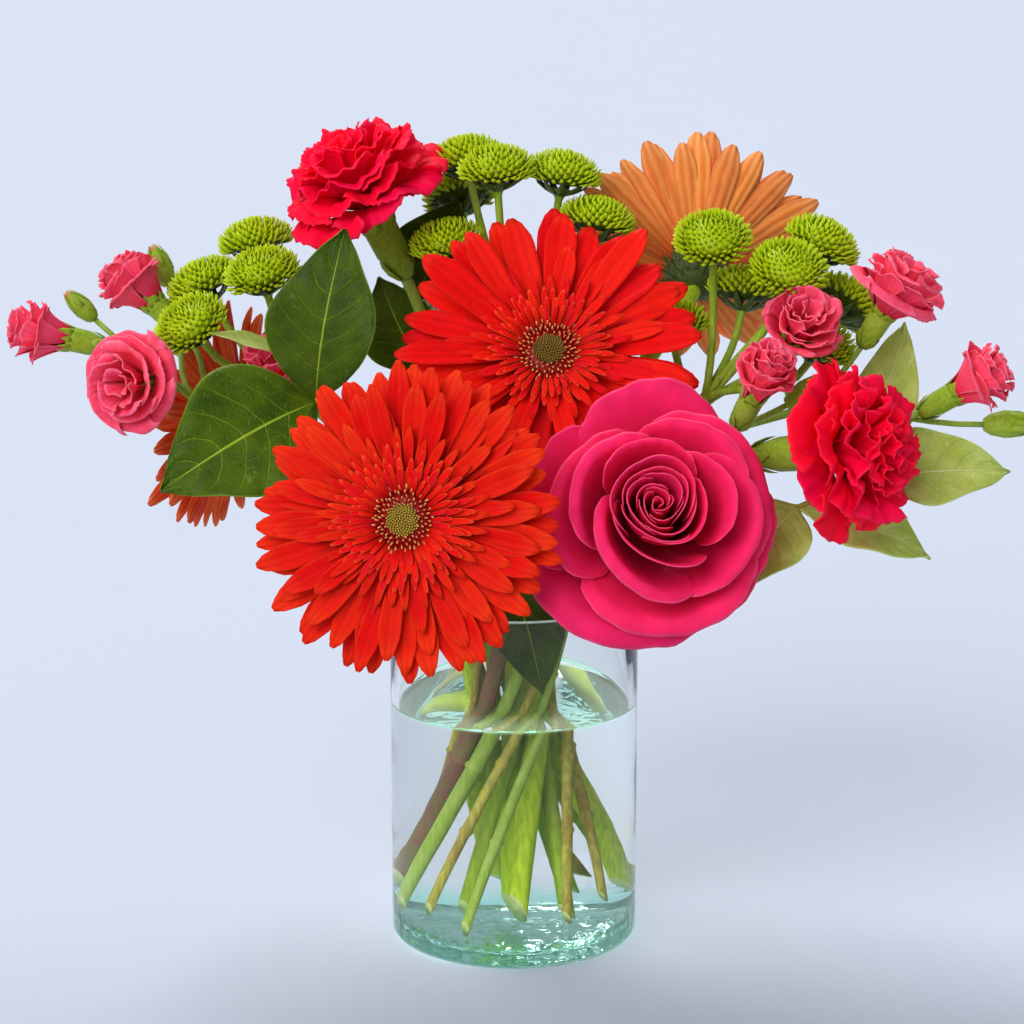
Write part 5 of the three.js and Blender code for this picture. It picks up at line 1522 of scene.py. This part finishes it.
# %% Build the button chrysanthemums
BRACTS_UNDER_POM = 9
bract_curve = side_line((2, -3.4), (6, -1.6), (9.6, 0.6), (11.6, 3.0))
pom_bract = tube_mesh(bract_curve, (1.5, 1.9, 1.4, 0.2), 6, 0.3, SIDEWAYS)
for number, (name, plan) in enumerate(POM_SPRAYS.items()):
    rng = random.Random(80 + number)
    end, arrive = Vector(plan["fork"]), Vector(plan["arrive"]).normalized()
    green = new_shape()
    cut_stem(green, stem_route(plan["slot"], plan["foot"], end, arrive, plan["pulls"]), 2.6, 2.2, 10)
    for i, (centre, axis) in enumerate(plan["heads"]):
        axis = Vector(axis).normalized()
        seat = Vector(centre) - axis * POM_TO_CENTRE
        place = standing(seat, axis, rng.uniform(0, 6))
        head = new_shape()
        add_copy(head, pom_heads[(i + number) % 3])
        finish_piece(f"{name}_head_{i + 1}_florets", head, [POM_LIME], "pom_floret",
                     f"{name}_head_{i + 1}", place)
        start = end - arrive * (1 + 6 * (i % 3))
        branch = offshoot(start, arrive, seat - axis * 5.5, axis) + [seat - axis * 3.2, seat - axis * 1.0]
        widths = [1.6] * (len(branch) - 2) + [2.6, 5.5]
        add_tube(green, branch, widths, 10)
        add_ring(green, pom_bract, BRACTS_UNDER_POM, place, material=2)
    finish_piece(f"{name}_branched_stem", green, [POM_STEM_GREEN, CUT_PITH, BRACT_GREEN], "stem",
                 f"{name}_stem")

# %% [markdown]
# ## Foliage
# A lemon leaf is egg-shaped, with a drawn-out tip. It folds a little along its rib, bows along its
# length, waves at its edge, and puffs up between its side veins. A flat outline with a bump would do
# from the front only, so each of these is a term in the height of the sheet's points.

# %% Leaves
LEAF_OUTLINE = [0.05, 0.50, 0.84, 0.99, 0.97, 0.83, 0.60, 0.34, 0.02]


def leaf_shape(base, tip, face, width, bow, fold, wave, phase):
    """One leaf from its base to its tip, its upper side towards face."""
    rib = tip - base
    side = face.cross(rib).normalized()
    out = rib.cross(side).normalized()
    length = rib.length

    def shape(u, v):
        half = 0.5 * width * along(LEAF_OUTLINE, v)
        off_rib = abs(u)
        lift = bow * 4 * v * (1 - v) + fold * half * off_rib
        lift += wave * off_rib ** 3 * math.sin(2.2 * math.pi * v * 2 + phase + (2.0 if u > 0 else 0.0))
        veins = math.cos(2 * math.pi * VEIN_PAIRS * (v - VEIN_LEAN * off_rib ** 1.4))
        lift += 0.020 * width * veins * math.sin(math.pi * off_rib)
        sway = 0.02 * length * math.sin(math.pi * v + phase)
        return base + rib * v - side * (u * half - sway) + out * lift

    return shape


print("leaf outline", LEAF_OUTLINE)

# %% [markdown]
# ## Five twigs
# A plan gives a twig's last three points and its leaves: on which of these points a leaf sits,
# where its tip lies, where it looks, how wide and how bowed it is, and which green it has.

# %% Foliage plans
# A leaf is (point on the twig, tip, direction it looks in, width, bow, material).
FOLIAGE = {
    "foliage_left": dict(
        slot=(27, 180), foot=16, twig=[(-64, -16, 208), (-76, -18, 222), (-90, -10, 240)], pulls=(24, 18),
        leaves=[(1, (-67, -7, 289), (-0.2, -0.95, 0.25), 44, 5, DARK_LEAF),
                (1, (-136, -42, 193), (-0.1, -0.95, 0.35), 55, 5, DARK_LEAF),
                (2, (-118, -18, 250), (-0.2, -0.5, 0.85), 9, 1, PAINTED_LIT_LEAF)]),
    "foliage_centre": dict(
        slot=(27, 90), foot=18, twig=[(-36, 48, 224), (-40, 53, 240), (-42, 55, 254)], pulls=(30, 22),
        leaves=[(0, (-56, 52, 263), (-0.2, -0.95, 0.2), 33, 4, DARK_LEAF),
                (2, (-22, 54, 294), (0.1, -0.95, 0.1), 39, 2, DARK_LEAF),
                (1, (-52, 97, 250), (-0.3, 0.4, 0.85), 38, 4, DARK_LEAF)]),
    "foliage_right": dict(
        slot=(27, 330), foot=14, twig=[(84, -24, 178), (112, -19, 181), (138, -8, 190)], pulls=(20, 20),
        leaves=[(2, (157, 26, 248), (-0.3, -0.9, 0.2), 28, 2, PAINTED_LIT_LEAF),
                (2, (197, -4, 192), (0.05, -0.65, 0.75), 38, 4, PAINTED_LIT_LEAF),
                (1, (164, -18, 159), (0.1, -0.6, 0.8), 32, 4, PAINTED_LIT_LEAF),
                (1, (84, -46, 154), (0.1, -0.7, 0.7), 32, 4, PAINTED_LIT_LEAF)]),
    "foliage_front": dict(
        slot=(29, 246), foot=16, twig=[(-4, -37, 172), (-3, -35, 189)], pulls=(10, 8),
        leaves=[(0, (10, -38, 110), (0, -0.99, 0.1), 34, 0.5, DARK_LEAF),
                (1, (0, -27, 214), (0.1, -0.95, 0.1), 20, 2, DARK_LEAF)]),
    "foliage_back": dict(
        slot=(27, 60), foot=14, twig=[(22, 54, 190), (28, 66, 206), (30, 74, 224)], pulls=(24, 20),
        leaves=[(0, (-26, 92, 204), (-0.2, 0.5, 0.85), 42, 5, DARK_LEAF),
                (1, (74, 98, 204), (0.2, 0.5, 0.85), 42, 5, DARK_LEAF),
                (2, (26, 100, 268), (0, 0.8, 0.5), 38, 4, DARK_LEAF)]),
}
print("twigs planned:", len(FOLIAGE))

# %% Build the foliage
for number, (name, plan) in enumerate(FOLIAGE.items()):
    rng = random.Random(90 + number)
    nodes = [Vector(point) for point in plan["twig"]]
    arrive = (nodes[1] - nodes[0]).normalized()
    twig = new_shape()
    route = stem_route(plan["slot"], plan["foot"], nodes[0], arrive, plan["pulls"]) + nodes[1:]
    cut_stem(twig, route, 1.9, 1.2, 9, joints=(2, 3))
    finish_piece(f"{name}_twig", twig, [TWIG_BARK, CUT_PITH], "leaf", name)
    blades = new_shape()
    finishes = sorted({leaf[5].name for leaf in plan["leaves"]})
    for node, tip, face, width, bow, finish in plan["leaves"]:
        shape = leaf_shape(nodes[node], Vector(tip), Vector(face), width, bow, fold=0.24,
                           wave=0.035 * width, phase=rng.uniform(0, 6))
        add_sheet(blades, 16, 26, shape, rng.random(), finishes.index(finish.name))
    greens = [bpy.data.materials[finish] for finish in finishes]
    finish_piece(f"{name}_leaves", blades, greens, "leaf", name, thickness=0.5)

# %% [markdown]
# ## Finish
# The dressed bouquet should be as large as the plain solids, give or take a few millimetres of petal.

# %% Finish
bpy.context.view_layer.update()
